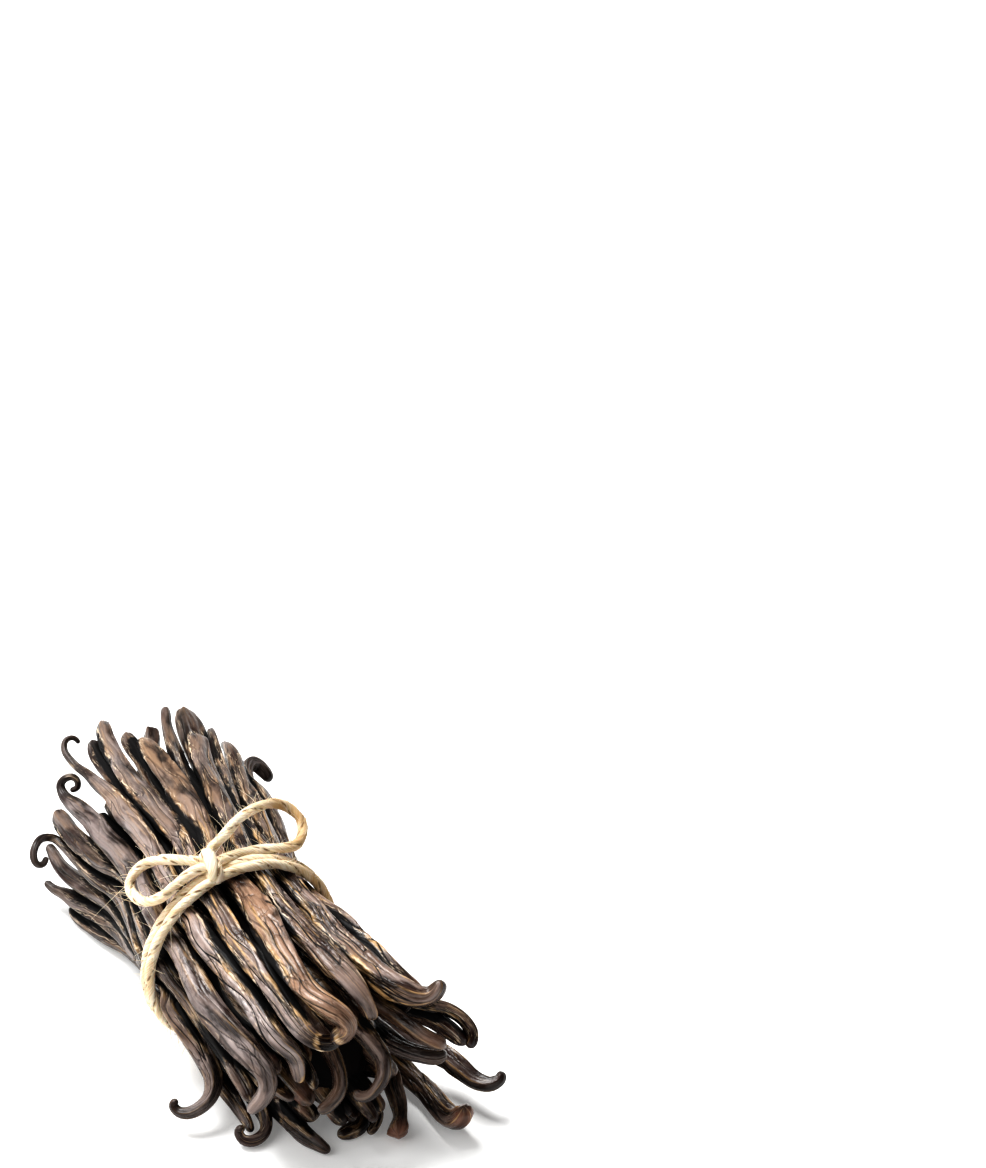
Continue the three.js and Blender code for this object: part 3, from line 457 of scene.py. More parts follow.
class MeshParts:
    """Grids of points that are gathered into one mesh, with a value for each point."""

    def __init__(self):
        self.points, self.faces, self.values, self.count = [], [], {}, 0

    def add_tube(self, rings, values, tips=True):
        """rings is stations by sides by 3. Each value is stations by sides, or that by 3."""
        stations, sides = rings.shape[:2]
        k, j = np.meshgrid(np.arange(stations - 1), np.arange(sides), indexing="ij")
        a = k * sides + j
        b = k * sides + (j + 1) % sides
        quads = np.stack([a, b, b + sides, a + sides], -1).reshape(-1, 4)
        self.faces += (quads + self.count).tolist()
        points = rings.reshape(-1, 3)
        flat = {name: v.reshape(stations * sides, -1) for name, v in values.items()}
        if tips:
            ends = [points[:sides].mean(0), points[-sides:].mean(0)]
            points = np.concatenate([points, ends])
            first, last = stations * sides, stations * sides + 1
            top = (stations - 1) * sides
            for i in range(sides):
                after = (i + 1) % sides
                self.faces.append([self.count + first, self.count + after, self.count + i])
                self.faces.append([self.count + last, self.count + top + i, self.count + top + after])
            for key, v in flat.items():
                flat[key] = np.concatenate([v, v[:sides].mean(0)[None], v[-sides:].mean(0)[None]])
        self.points.append(points)
        for name, v in flat.items():
            self.values.setdefault(name, []).append(v)
        self.count += len(points)

    def finished(self, name, smooth_angle=180.0):
        """The mesh as an object in the scene, its place in its mesh."""
        mesh = bpy.data.meshes.new(name)
        mesh.from_pydata(to_frame(np.concatenate(self.points)).tolist(), [], self.faces)
        mesh.update()
        for key, parts in self.values.items():
            value = np.concatenate(parts).astype(np.float32)
            kind = "FLOAT_VECTOR" if value.shape[1] == 3 else "FLOAT"
            attribute = mesh.attributes.new(key, kind, "POINT")
            attribute.data.foreach_set("vector" if kind == "FLOAT_VECTOR" else "value", value.ravel())
        piece = bpy.data.objects.new(name, mesh)
        bpy.context.scene.collection.objects.link(piece)
        bpy.ops.object.select_all(action="DESELECT")
        piece.select_set(True)
        bpy.context.view_layer.objects.active = piece
        bpy.ops.object.shade_smooth_by_angle(angle=math.radians(smooth_angle))
        piece.select_set(False)
        return piece


# Pods.


def smooth_line(stops):
    """A centripetal Catmull-Rom curve through the stops, whose fourth number is the radius."""
    p = np.asarray(stops, float)
    p = np.concatenate([2 * p[:1] - p[1:2], p, 2 * p[-1:] - p[-2:-1]])
    pieces = []
    for before, start, end, after in zip(p, p[1:], p[2:], p[3:]):
        spans = ((before, start), (start, end), (end, after))
        gaps = [max(1e-4, math.dist(a[:3], b[:3]) ** 0.5) for a, b in spans]
        leave = (start - before) / gaps[0] - (end - before) / (gaps[0] + gaps[1]) + (end - start) / gaps[1]
        arrive = (end - start) / gaps[1] - (after - start) / (gaps[1] + gaps[2]) + (after - end) / gaps[2]
        t = np.linspace(0, 1, max(3, round(math.dist(start[:3], end[:3]) * 2)), endpoint=False)[:, None]
        pieces.append(
            (2 * t**3 - 3 * t**2 + 1) * start
            + (t**3 - 2 * t**2 + t) * leave * gaps[1]
            + (3 * t**2 - 2 * t**3) * end
            + (t**3 - t**2) * arrive * gaps[1]
        )
    return np.concatenate([*pieces, p[-2:-1]])


def pod_line(row, ring):
    """A pod's middle line from its near tip to its far one, with the radius as a fourth column."""
    degrees, near, far = row
    ring_radius, pod_radius = ring
    angle = math.radians(degrees)
    x, z = ring_radius * math.cos(angle), TIE_HEIGHT + ring_radius * math.sin(angle)
    under_tie = [(x, y, z, pod_radius) for y in (-TIE_STRAIGHT, TIE_STRAIGHT)]
    return smooth_line([*near[::-1], *under_tie, *far])


def pod_places(length, step):
    """Lengths along a pod where it has a ring of points, close together round its tips."""
    tip = TIP_LENGTH * (1 - np.cos(np.linspace(0, math.pi / 2, 12)))
    count = max(2, round((length - 2 * TIP_LENGTH) / step))
    middle = np.linspace(TIP_LENGTH, length - TIP_LENGTH, count)
    return np.concatenate([tip[:-1], middle, length - tip[:-1][::-1]])


POD_LINES = []  # each pod's row and its middle line, filled when they are first asked for


def tip_rounding(distance, radius):
    """The share of its radius that a pod has this far from a tip, which closes like a ball."""
    near_tip = np.clip(1 - distance / np.maximum(radius, 0.5), 0, 1)
    return np.sqrt(np.maximum(1 - near_tip**2, 0.0004))


def wrinkles(around, along, radius, seed, settings):
    """How far each point of a pod's skin is from the nearest crease, and how deep that crease is.

    The skin is shared out among long ridges, each round its own seed point; the creases run where
    two ridges meet, so they wander, fork and join. The distance is negative on every other column
    of ridges, so that it passes through zero in a crease between two columns.
    """
    rng = np.random.default_rng(1000 + seed)
    girth = 2 * math.pi * radius
    columns = 2 * max(3, round(girth / settings.ridge_width / 2))
    rows = int(along.max() / settings.ridge_length) + 3
    column, row = np.meshgrid(np.arange(columns), np.arange(rows) - 1, indexing="ij")
    seed_u = (column + 0.5 * (row % 2) + 0.75 * rng.random(column.shape)).ravel() * girth / columns
    seed_v = ((row + 0.85 * rng.random(row.shape)) * settings.ridge_length).ravel()
    strength = rng.random((seed_u.size, seed_u.size))
    phase = rng.random(4) * 2 * math.pi
    sway = 0.7 * np.sin(along / 6.1 + phase[0]) + 0.4 * np.sin(along / 2.7 + phase[1])
    u = around * girth / (2 * math.pi) + sway + 0.35 * np.sin(3 * around + along / 11 + phase[2])
    v = along + 2.0 * np.sin(2 * around + phase[3])
    du = (u.reshape(-1, 1) - seed_u + girth / 2) % girth - girth / 2
    dv = v.reshape(-1, 1) - seed_v
    reach = np.hypot(du / settings.ridge_width, dv / settings.ridge_length)
    nearest = np.argpartition(reach, 1, axis=1)[:, :2]
    pair = np.take_along_axis(reach, nearest, 1)
    swap = pair[:, 0] > pair[:, 1]
    nearest[swap] = nearest[swap][:, ::-1]
    pair = np.sort(pair, axis=1) + 1e-6
    near_u, near_v = np.take_along_axis(du, nearest, 1), np.take_along_axis(dv, nearest, 1)
    slope_u = near_u / settings.ridge_width**2 / pair
    slope_v = near_v / settings.ridge_length**2 / pair
    steepness = np.hypot(slope_u[:, 1] - slope_u[:, 0], slope_v[:, 1] - slope_v[:, 0]) + 1e-6
    distance = (pair[:, 1] - pair[:, 0]) / steepness
    low, high = nearest.min(1), nearest.max(1)
    depth = 0.15 + 0.85 * strength[low, high]
    sign = 1 - 2 * (column.ravel()[nearest[:, 0]] % 2)
    return (sign * distance).reshape(around.shape), depth.reshape(around.shape)


def pinched(points):
    """Points under the tie drawn in to its inner side, as the twine does to soft pods."""
    out = points.copy()
    across, up = out[..., 0], out[..., 2] - TIE_HEIGHT
    radius = np.hypot(across, up) + 1e-9
    give = smooth_step((np.abs(out[..., 1]) - BAND_SPACING / 2 - 0.6) / 6)
    limit = BAND_RADIUS - 0.75 * TWINE_RADIUS + 5 * give
    share = np.where(give < 1, np.minimum(1, limit / radius), 1)
    out[..., 0] = across * share
    out[..., 2] = up * share + TIE_HEIGHT
    return out


def flats(around, along, facing, seed):
    """A cured pod's section: a few nearly flat sides with rounded corners that wander along it.

    Gives the share of the radius at each point, and how much of a corner it is, from 0 to 1.
    """
    reaches = []
    for k in range(FLAT_SIDES):
        drift = 0.3 * np.sin(along / (9 + 9 * chance(seed, 30 + k)) + 6.3 * chance(seed, 40 + k))
        middle = facing + 2 * math.pi * (k + 0.35 * (chance(seed, 50 + k) - 0.5) * (k > 0)) / FLAT_SIDES
        depth = 0.86 + 0.11 * np.sin(along / (5 + 9 * chance(seed, 60 + k)) + 6.3 * chance(seed, 70 + k))
        reaches.append(np.maximum(np.cos(around - middle - drift), 0.02) / depth)
    reaches = np.array(reaches)
    share = (reaches**FLAT_SHARPNESS).sum(0) ** (-1 / FLAT_SHARPNESS)
    ordered = np.sort(reaches, axis=0)
    corner = np.exp(-(((ordered[-1] - ordered[-2]) / 0.09) ** 2))
    return share, corner


def gaps_to_others(points, own):
    """How far each point is from the nearest pod other than its own, by the pods' middle lines."""
    if not POD_LINES:
        for rows, ring in ((OUTER_PODS, OUTER_RING), (MIDDLE_PODS, MIDDLE_RING), (INNER_PODS, INNER_RING)):
            POD_LINES.extend((row, pod_line(row, ring)[::3]) for row in rows)
    others = np.concatenate([line for row, line in POD_LINES if row is not own])
    tree = KDTree(len(others))
    for k, stop in enumerate(others):
        tree.insert(stop[:3], k)
    tree.balance()
    found = [tree.find(point) for point in points.reshape(-1, 3)]
    gaps = [distance - others[k, 3] for _place, k, distance in found]
    return np.array(gaps).reshape(points.shape[:-1])


def add_pod(parts, row, ring, seed, look, sides, step, settings):
    """One pod's skin: a closed tube along its line, wrinkled, with rounded tips."""
    line = pod_line(row, ring)
    length = lengths_along(line[:, :3])[-1]
    places = pod_places(length, step)
    stations = resampled(line, places)
    middle, radii = stations[:, :3], stations[:, 3:]
    radius = ring[1]
    middle[1:-1] = (middle[:-2] + middle[1:-1] * 2 + middle[2:]) / 4
    _heading, ups, side_ways = carried_frames(middle)
    around = np.linspace(0, 2 * math.pi, sides, endpoint=False)[None, :].repeat(len(places), 0)
    along = places[:, None].repeat(sides, 1)
    rounding = tip_rounding(places, radii[0, 0]) * tip_rounding(length - places, radii[-1, 0])
    share = rounding[:, None] * radii / radius
    slim = smooth_step(radii / radius * 1.6 - 0.35)  # thin hooks are smoother and rounder
    flat, corner = flats(around, along, math.radians(90 - row[0]), seed)
    swelling = 1 + 0.03 * np.sin(along / 5.5 + 6.3 * chance(seed, 7))
    swelling = swelling + 0.02 * np.sin(along / 2.9 + 6.3 * chance(seed, 12))
    from_crease, depth = wrinkles(around, along, radius, seed, settings)
    from_tip = smooth_step((np.minimum(places, length - places)[:, None] - 4) / 14)  # tips are smoother
    depth = depth * (0.35 + 0.65 * look[2]) * (0.35 + 0.65 * from_tip)
    distance = np.abs(from_crease)
    valley = np.exp(-((distance / settings.crease_width) ** 2)) * depth
    shoulder = 1 - np.exp(-distance / 0.5)
    relief = 0.2 * shoulder - settings.crease_depth * valley - 0.1
    reach = share * (radius * SKIN_SHARE * (1 + (flat - 0.97) * slim) * swelling + relief)
    skin = (
        middle[:, None]
        + ups[:, None] * (np.cos(around) * reach * POD_FLATNESS)[..., None]
        + side_ways[:, None] * (np.sin(around) * reach)[..., None]
    )
    skin = pinched(skin)
    skin[..., 2] = np.maximum(skin[..., 2], FLOOR_CLEARANCE)
    straight = np.stack(
        [np.cos(around) * radius, np.sin(around) * radius, along + 211 * chance(seed, 8)], axis=-1
    )
    outward = ups[:, None] * np.cos(around)[..., None] + side_ways[:, None] * np.sin(around)[..., None]
    painted_top_light = smooth_step((outward[..., 2] + 0.45) / 0.9)  # painted light: bloom and sheen on the upper sides, none on the undersides
    blunt = smooth_step((radii - 2.5) / 0.6) * np.exp(-((places[:, None] / 5) ** 4))
    level = np.zeros(around.shape)
    values = {
        "straight": straight,  # the place on the same pod, laid out straight
        "from_crease": from_crease,
        "depth": depth,  # of the nearest crease, from 0 to 1
        "gap": np.minimum(gaps_to_others(skin, row), 6),
        "edge": corner * slim,
        "thick": level + slim,
        "lined": level + slim * (0.15 + 0.85 * from_tip),
        # bloom and painted sheen, on the upper sides of the thicker parts
        "bloom": slim * look[3] * painted_top_light,
        "blunt": level + blunt,  # a thick near end
        "dry": smooth_step((skin[..., 1] - 10) / 45),  # towards the far ends
        "look": np.zeros(around.shape + (3,)) + look[:3],
    }
    parts.add_tube(skin, values)


OUTER = [(row, OUTER_RING, k, OUTER_LOOKS[k]) for k, row in enumerate(OUTER_PODS)]
# Each piece's pods, the points round one of them and the millimetres between its rings of points.
POD_GROUPS = {
    "pods_top": (OUTER[0:5], 80, 0.8),
    "pods_crest": (OUTER[5:10], 80, 0.8),
    "pods_left": (OUTER[10:14], 60, 0.9),
    "pods_bottom": (OUTER[14:], 60, 0.9),
    "pods_middle": ([(row, MIDDLE_RING, 20 + k, INSIDE_LOOK) for k, row in enumerate(MIDDLE_PODS)], 44, 1.0),
    "pods_inner": ([(row, INNER_RING, 40 + k, INSIDE_LOOK) for k, row in enumerate(INNER_PODS)], 30, 1.4),
}


# Materials.


# Settings that many of their nodes share.
TIMES = {"operation": "MULTIPLY"}
TIMES_PLUS = {"operation": "MULTIPLY_ADD"}
LARGER = {"operation": "MAXIMUM"}
COLOUR = {"data_type": "RGBA"}


def add_node(tree, kind, inputs=(), **settings):
    """Adds a shader node. inputs names its sockets, or lists values for those in use, in order.

    What feeds a socket may be a node, for its first output in use, or (node, output). A Map Range
    is listed as its value, the range that it comes from and the range that it goes to.
    """
    node = tree.nodes.new("ShaderNode" + kind)
    for name, value in settings.items():
        setattr(node, name, value)
    if isinstance(inputs, dict):
        pairs = [(node.inputs[key], value) for key, value in inputs.items()]
    else:
        pairs = zip([socket for socket in node.inputs if socket.enabled], inputs)
    for socket, value in pairs:
        if isinstance(value, bpy.types.Node):
            tree.links.new(next(output for output in value.outputs if output.enabled), socket)
        elif isinstance(value, tuple) and isinstance(value[0], bpy.types.Node):
            tree.links.new(value[0].outputs[value[1]], socket)
        else:
            socket.default_value = value
    return node


def new_material(name):
    material = bpy.data.materials.new(name)
    material.use_nodes = True
    tree = material.node_tree
    tree.nodes.clear()
    return material, tree


def long_noise(tree, place, width, length, detail, offset=0.0):
    """Noise in patches this many millimetres across and along a pod."""
    scale = (1 / width, 1 / width, 1 / length)
    stretched = add_node(tree, "Mapping", {"Vector": place, "Location": (offset,) * 3, "Scale": scale})
    return add_node(tree, "TexNoise", {"Vector": stretched, "Scale": 1.0, "Detail": detail})


def crack_lines(tree, place, width, length, thickness):
    """A net of lines round cells this many millimetres across and along a pod."""
    cells = add_node(tree, "Mapping", {"Vector": place, "Scale": (1 / width, 1 / width, 1 / length)})
    network = add_node(tree, "TexVoronoi", {"Vector": cells, "Scale": 1.0}, feature="DISTANCE_TO_EDGE")
    return add_node(tree, "MapRange", [(network, "Distance"), 0.015, thickness, 1, 0])


def vanilla_skin():
    """Cured vanilla pod: a leathery, slightly oily skin. It looks satin, with painted sheen on flats that face up and
    painted shade, near black, in its creases and between pods.
    """
    s = bpy.context.scene.vanilla_pods
    material, tree = new_material("cured_vanilla_skin")
    straight, look = (
        (add_node(tree, "Attribute", attribute_name=name), "Vector") for name in ("straight", "look")
    )
    from_crease, depth, gap, edge, dry, bloom_and_sheen_amount, thick, blunt, lined = (
        (add_node(tree, "Attribute", attribute_name=name), "Fac")
        for name in ("from_crease", "depth", "gap", "edge", "dry", "bloom", "thick", "blunt", "lined")
    )
    distance = add_node(tree, "Math", [from_crease], operation="ABSOLUTE")
    split = add_node(tree, "SeparateXYZ", [look])
    blush, gold, lines = (split, 0), (split, 1), (split, 2)
    # Places along a pod, swayed so that what follows them wanders.
    sway = add_node(tree, "TexNoise", {"Vector": straight, "Scale": 0.16, "Detail": 2.0})
    swayed = add_node(tree, "VectorMath", [(sway, 1), (2.4, 2.4, 5.0), straight], **TIMES_PLUS)
    # Painted shade: where a pod meets the next one its side is painted dark, along an uneven border. Clear of its
    # neighbours a flat takes painted sheen.
    wander = long_noise(tree, swayed, 1.6, 7, 2.0, 29.0)
    reach = add_node(tree, "Math", [wander, 2.4, gap], **TIMES_PLUS)
    close = add_node(tree, "MapRange", [reach, 2.55, 3.45, 1, 0])
    full = add_node(tree, "MapRange", [thick, 0.6, 1, 0.15, 1])
    painted_gap_shade = add_node(tree, "Math", [close, full], **TIMES)
    clear = add_node(tree, "MapRange", [reach, 3.2, 3.9, 0, 1])
    bloom_and_sheen_weight = add_node(tree, "MapRange", [bloom_and_sheen_amount, 0, 1, 0.3, 1])
    proud = add_node(tree, "Math", [clear, bloom_and_sheen_weight], **TIMES)
    side_starts = add_node(tree, "MapRange", [reach, 2.6, 3.2, 0, 1])
    side_ends = add_node(tree, "MapRange", [reach, 4.5, 3.7, 0, 1])
    side = add_node(tree, "Math", [side_starts, side_ends], **TIMES)
    # Chocolate brown, mottled in patches about 4 mm across and 20 mm long.
    mottle = add_node(tree, "MapRange", [long_noise(tree, straight, 4, 20, 3.0), 0.42, 0.64, 0, 1])
    skin = add_node(tree, "Mix", [mottle, (*s.skin_dark, 1), (*s.skin_brown, 1)], **COLOUR)
    # Grey bloom and painted sheen lie in patches about 5 mm across and 14 mm long, on flats that face up clear of
    # other pods; some of it is a pinkish tan.
    tint_noise = long_noise(tree, straight, 5, 18, 2.0, 91.0)
    tint = add_node(tree, "MapRange", [tint_noise, 0.35, 0.65, -0.35, 0.35])
    tint = add_node(tree, "Math", [tint, blush], use_clamp=True)
    dried = add_node(tree, "Math", [dry, 0.8], **TIMES)
    flats_tan = add_node(tree, "Mix", [dried, (*s.skin_blush_and_sheen, 1), (*s.skin_tan, 1)], **COLOUR)
    bloom = add_node(tree, "Mix", [tint, (*s.skin_bloom_and_sheen, 1), flats_tan], **COLOUR)
    bloom_noise = long_noise(tree, swayed, 5, 14, 4.0, 37.0)
    patches = add_node(tree, "Math", [bloom_and_sheen_amount, 0.14, bloom_noise], **TIMES_PLUS)
    patches = add_node(tree, "MapRange", [patches, 0.5, 0.68, 0.1, 1])
    patches = add_node(tree, "Math", [patches, proud], **TIMES)
    faded = add_node(tree, "MapRange", [dry, 0, 1, 1, 0.7])
    bloom_and_sheen_share = add_node(tree, "Math", [patches, faded], **TIMES)
    skin = add_node(tree, "Mix", [bloom_and_sheen_share, skin, bloom], **COLOUR)
    # A thick, blunt end is broken skin, reddish brown in patches.
    broken = add_node(tree, "MapRange", [bloom_noise, 0.35, 0.55, 0.35, 0.85])
    broken = add_node(tree, "Math", [blunt, broken], **TIMES)
    skin = add_node(tree, "Mix", [broken, skin, (*s.skin_end, 1)], **COLOUR)
    # Gold, painted light that comes through the thin edges of folds, shows along them in stretches about 12 mm long.
    edge_glow = add_node(tree, "MapRange", [long_noise(tree, straight, 3, 12, 3.0, 71.0), 0.47, 0.6, 0, 1])
    lip_starts = add_node(tree, "MapRange", [distance, 0.26, 0.36, 0, 1])
    lip_ends = add_node(tree, "MapRange", [distance, 0.68, 0.48, 0, 1])
    lip = add_node(tree, "Math", [lip_starts, lip_ends], **TIMES)
    lip = add_node(tree, "Math", [lip, depth], **TIMES)
    rim = add_node(tree, "Math", [edge, lip], **LARGER)
    rim = add_node(tree, "Math", [rim, side], **LARGER)
    edge_glow = add_node(tree, "Math", [edge_glow, rim], **TIMES)
    edge_glow = add_node(tree, "Math", [edge_glow, gold], **TIMES)
    edge_glow_colour = add_node(tree, "Mix", [dry, (*s.skin_gold, 1), (*s.skin_tan, 1)], **COLOUR)
    skin = add_node(tree, "Mix", [edge_glow, skin, edge_glow_colour], **COLOUR)
    # Thin pale lines, partly wear and partly painted highlight, run along the tops of the ridges, and most of all
    # down the sides.
    ridge_lines = long_noise(tree, swayed, 0.42, 15, 1.0, 47.0)
    worn_and_lit = add_node(tree, "Math", [side, lip], **LARGER)
    pale = add_node(tree, "MapRange", [ridge_lines, 0.54, 0.64, 0, 1])
    pale = add_node(tree, "Math", [pale, worn_and_lit], **TIMES)
    golden = add_node(tree, "MapRange", [gold, 0, 1, 0.3, 0.9])
    pale = add_node(tree, "Math", [pale, golden], **TIMES)
    skin = add_node(tree, "Mix", [pale, skin, (*s.skin_cream_wear_and_glint, 1)], **COLOUR)
    # Fine lines that wander along the pod and meet, painted near black as shade in their cuts, and fade where the
    # skin has dried.
    long_lines = crack_lines(tree, swayed, s.line_width, s.line_length, 0.13)
    meanders = crack_lines(tree, swayed, s.line_width * 2.4, s.line_length * 0.7, 0.09)
    line = add_node(tree, "Mix", [lines, meanders, long_lines])
    line_noise = long_noise(tree, straight, 4, 16, 2.0, 13.0)
    line_share = add_node(tree, "MapRange", [line_noise, 0.42, 0.6, 0.1, 0.9])
    line_fade = add_node(tree, "MapRange", [dry, 0, 0.7, 1, 0.1])
    for factor in (line, line_fade, lined):
        line_share = add_node(tree, "Math", [line_share, factor], **TIMES)
    line_shade = add_node(tree, "Math", [line_share, 0.95], **TIMES)
    skin = add_node(tree, "Mix", [line_shade, skin, (*s.skin_crease_shade, 1)], **COLOUR)
    # Painted shade: the creases, and the sides where pods meet, are painted near black.
    crease = add_node(tree, "MapRange", [distance, 0.14, 0.34, 1, 0])
    deep = add_node(tree, "MapRange", [depth, 0.12, 0.55, 0, 1])
    crease_fade = add_node(tree, "MapRange", [dry, 0, 1, 1, 0.55])
    for factor in (deep, crease_fade):
        crease = add_node(tree, "Math", [crease, factor], **TIMES)
    painted_shade = add_node(tree, "Math", [crease, painted_gap_shade], **LARGER)
    skin = add_node(tree, "Mix", [painted_shade, skin, (*s.skin_crease_shade, 1)], **COLOUR)
    # Relief: the fine lines are cut about 0.25 mm deep, over a grain 0.45 mm across.
    out_of_gap_shade = add_node(tree, "MapRange", [painted_gap_shade, 0, 0.6, 1, 0])
    cut = add_node(tree, "Math", [line_share, out_of_gap_shade], **TIMES)
    line_bump = add_node(tree, "Bump", {"Height": cut, "Strength": 1.0, "Distance": 0.00025}, invert=True)
    grain = long_noise(tree, straight, 0.45, 2.5, 4.0, 5.0)
    grain_bump = add_node(
        tree, "Bump", {"Height": grain, "Strength": 0.5, "Distance": 0.00022, "Normal": line_bump}
    )
    # Oily where there is little bloom and painted sheen, duller where the skin has dried, and matt in the creases and
    # gaps painted with shade.
    rough = add_node(tree, "MapRange", [grain, 0.3, 0.7, 0.22, 0.34])
    oily = add_node(tree, "MapRange", [bloom_and_sheen_amount, 0, 0.6, 0.75, 1])
    rough = add_node(tree, "Math", [rough, oily], **TIMES)
    rough = add_node(tree, "Math", [dry, 0.14, rough], **TIMES_PLUS)
    matt = add_node(tree, "Math", [painted_shade, 0.85], **TIMES)
    rough = add_node(tree, "Math", [rough, matt], **LARGER)
    shader = add_node(
        tree,
        "BsdfPrincipled",
        {
            "Base Color": skin,
            "Roughness": rough,
            "Normal": grain_bump,
            "IOR": 1.36,
            "Coat Weight": 0.06,
            "Coat Roughness": 0.12,
        },
    )
    add_node(tree, "OutputMaterial", {"Surface": shader})
    return material


def dark_inside():
    """The unseen middle of the bundle: skin in deep shade, matt and near black."""
    s = bpy.context.scene.vanilla_pods
    material, tree = new_material("vanilla_in_deep_shade")
    place = add_node(tree, "TexCoord")
    noise = add_node(tree, "TexNoise", {"Vector": (place, "Object"), "Scale": 180.0, "Detail": 3.0})
    shade = add_node(tree, "ValToRGB", [noise])
    for stop, position, value in zip(shade.color_ramp.elements, (0.35, 0.8), (s.skin_crease_shade, s.skin_dark)):
        stop.position, stop.color = position, (*value, 1)
    shader = add_node(tree, "BsdfPrincipled", {"Base Color": shade, "Roughness": 0.7, "IOR": 1.2})
    add_node(tree, "OutputMaterial", {"Surface": shader})
    return material


def jute():
    """Bleached jute: matt cream fibres that look soft, with painted shade where the two plies meet."""
    s = bpy.context.scene.vanilla_twine
    material, tree = new_material("bleached_jute")
    fibre = (add_node(tree, "Attribute", attribute_name="fibre"), "Vector")
    groove, aged = ((add_node(tree, "Attribute", attribute_name=name), "Fac") for name in ("groove", "aged"))
    # Fibres are drawn 0.3 mm across, coarser than real ones, so that they show.
    strands = long_noise(tree, fibre, 0.3, 4, 4.0)
    patches = long_noise(tree, fibre, 2.5, 9, 2.0, 19.0)
    shade = add_node(tree, "Math", [patches, 0.6, strands], **TIMES_PLUS)
    shade = add_node(tree, "MapRange", [shade, 0.62, 0.92, 0, 1])
    straw = add_node(tree, "Mix", [shade, (*s.straw_dark, 1), (*s.straw_light, 1)], **COLOUR)
    # Golden tan in patches, towards the right-hand side of the twine.
    golden = add_node(tree, "MapRange", [patches, 0.35, 0.6, 0.35, 0.9])
    golden = add_node(tree, "Math", [aged, golden], **TIMES)
    straw = add_node(tree, "Mix", [golden, straw, (*s.straw_tan_towards_right, 1)], **COLOUR)
    # The grooves are painted with shade, in short dark dashes.
    dashes = add_node(tree, "MapRange", [long_noise(tree, fibre, 1.2, 2.2, 1.0, 53.0), 0.36, 0.5, 0.3, 0.9])
    groove_shade = add_node(tree, "MapRange", [groove, 0.2, 0.8, 0, 1])
    groove_shade = add_node(tree, "Math", [groove_shade, dashes], **TIMES)
    straw = add_node(tree, "Mix", [groove_shade, straw, (*s.straw_groove_shade, 1)], **COLOUR)
    bump = add_node(tree, "Bump", {"Height": strands, "Strength": 0.8, "Distance": 0.0005})
    shader = add_node(
        tree,
        "BsdfPrincipled",
        {
            "Base Color": straw,
            "Roughness": 0.85,
            "Normal": bump,
            "Sheen Weight": 0.2,
            "Sheen Roughness": 0.5,
            "Subsurface Weight": 0.1,
            "Subsurface Scale": 0.001,
        },
    )
    add_node(tree, "OutputMaterial", {"Surface": shader})
    return material


def floor_paper():
    """Seamless white sheet: matt, and lit a little from below so that shadows on it stay pale."""
    s = bpy.context.scene.vanilla_studio
    material, tree = new_material("seamless_paper")
    white = (*s.floor, 1)
    glow = {"Emission Color": white, "Emission Strength": s.floor_glow}
    shader = add_node(tree, "BsdfPrincipled", {"Base Color": white, "Roughness": 0.9, **glow})
    add_node(tree, "OutputMaterial", {"Surface": shader})
    return material


MATERIALS = {}


def material_for(maker):
    """The one material that a maker makes, made when it is first asked for."""
    if maker.__name__ not in MATERIALS:
        MATERIALS[maker.__name__] = maker()
    return MATERIALS[maker.__name__]


def placed(piece, maker, node):
    """Gives a piece its material, hangs it on the root and hides the part of the frame that it stands for."""
    piece.data.materials.append(material_for(maker))
    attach(piece, "root")
    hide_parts(node)
    return piece


# Twine.


def ring_points(radius, y, count=72):
    angle = np.linspace(0, 2 * math.pi, count, endpoint=False)
    return np.stack(
        [radius * np.cos(angle), np.full(count, y), TIE_HEIGHT + radius * np.sin(angle)], axis=1
    )


def knot_points():
    """The turn that binds the bow, leaning towards the far ends."""
    up, along = KNOT_TURN
    angle = np.linspace(0, 2 * math.pi, 28, endpoint=False)
    lean = math.radians(KNOT_LEAN)
    run, lift = along * np.cos(angle), up * np.sin(angle)
    return np.stack(
        [
            np.full(28, KNOT_MIDDLE[0]),
            KNOT_MIDDLE[1] + run * math.cos(lean) - lift * math.sin(lean),
            KNOT_MIDDLE[2] + run * math.sin(lean) + lift * math.cos(lean),
        ],
        axis=1,
    )


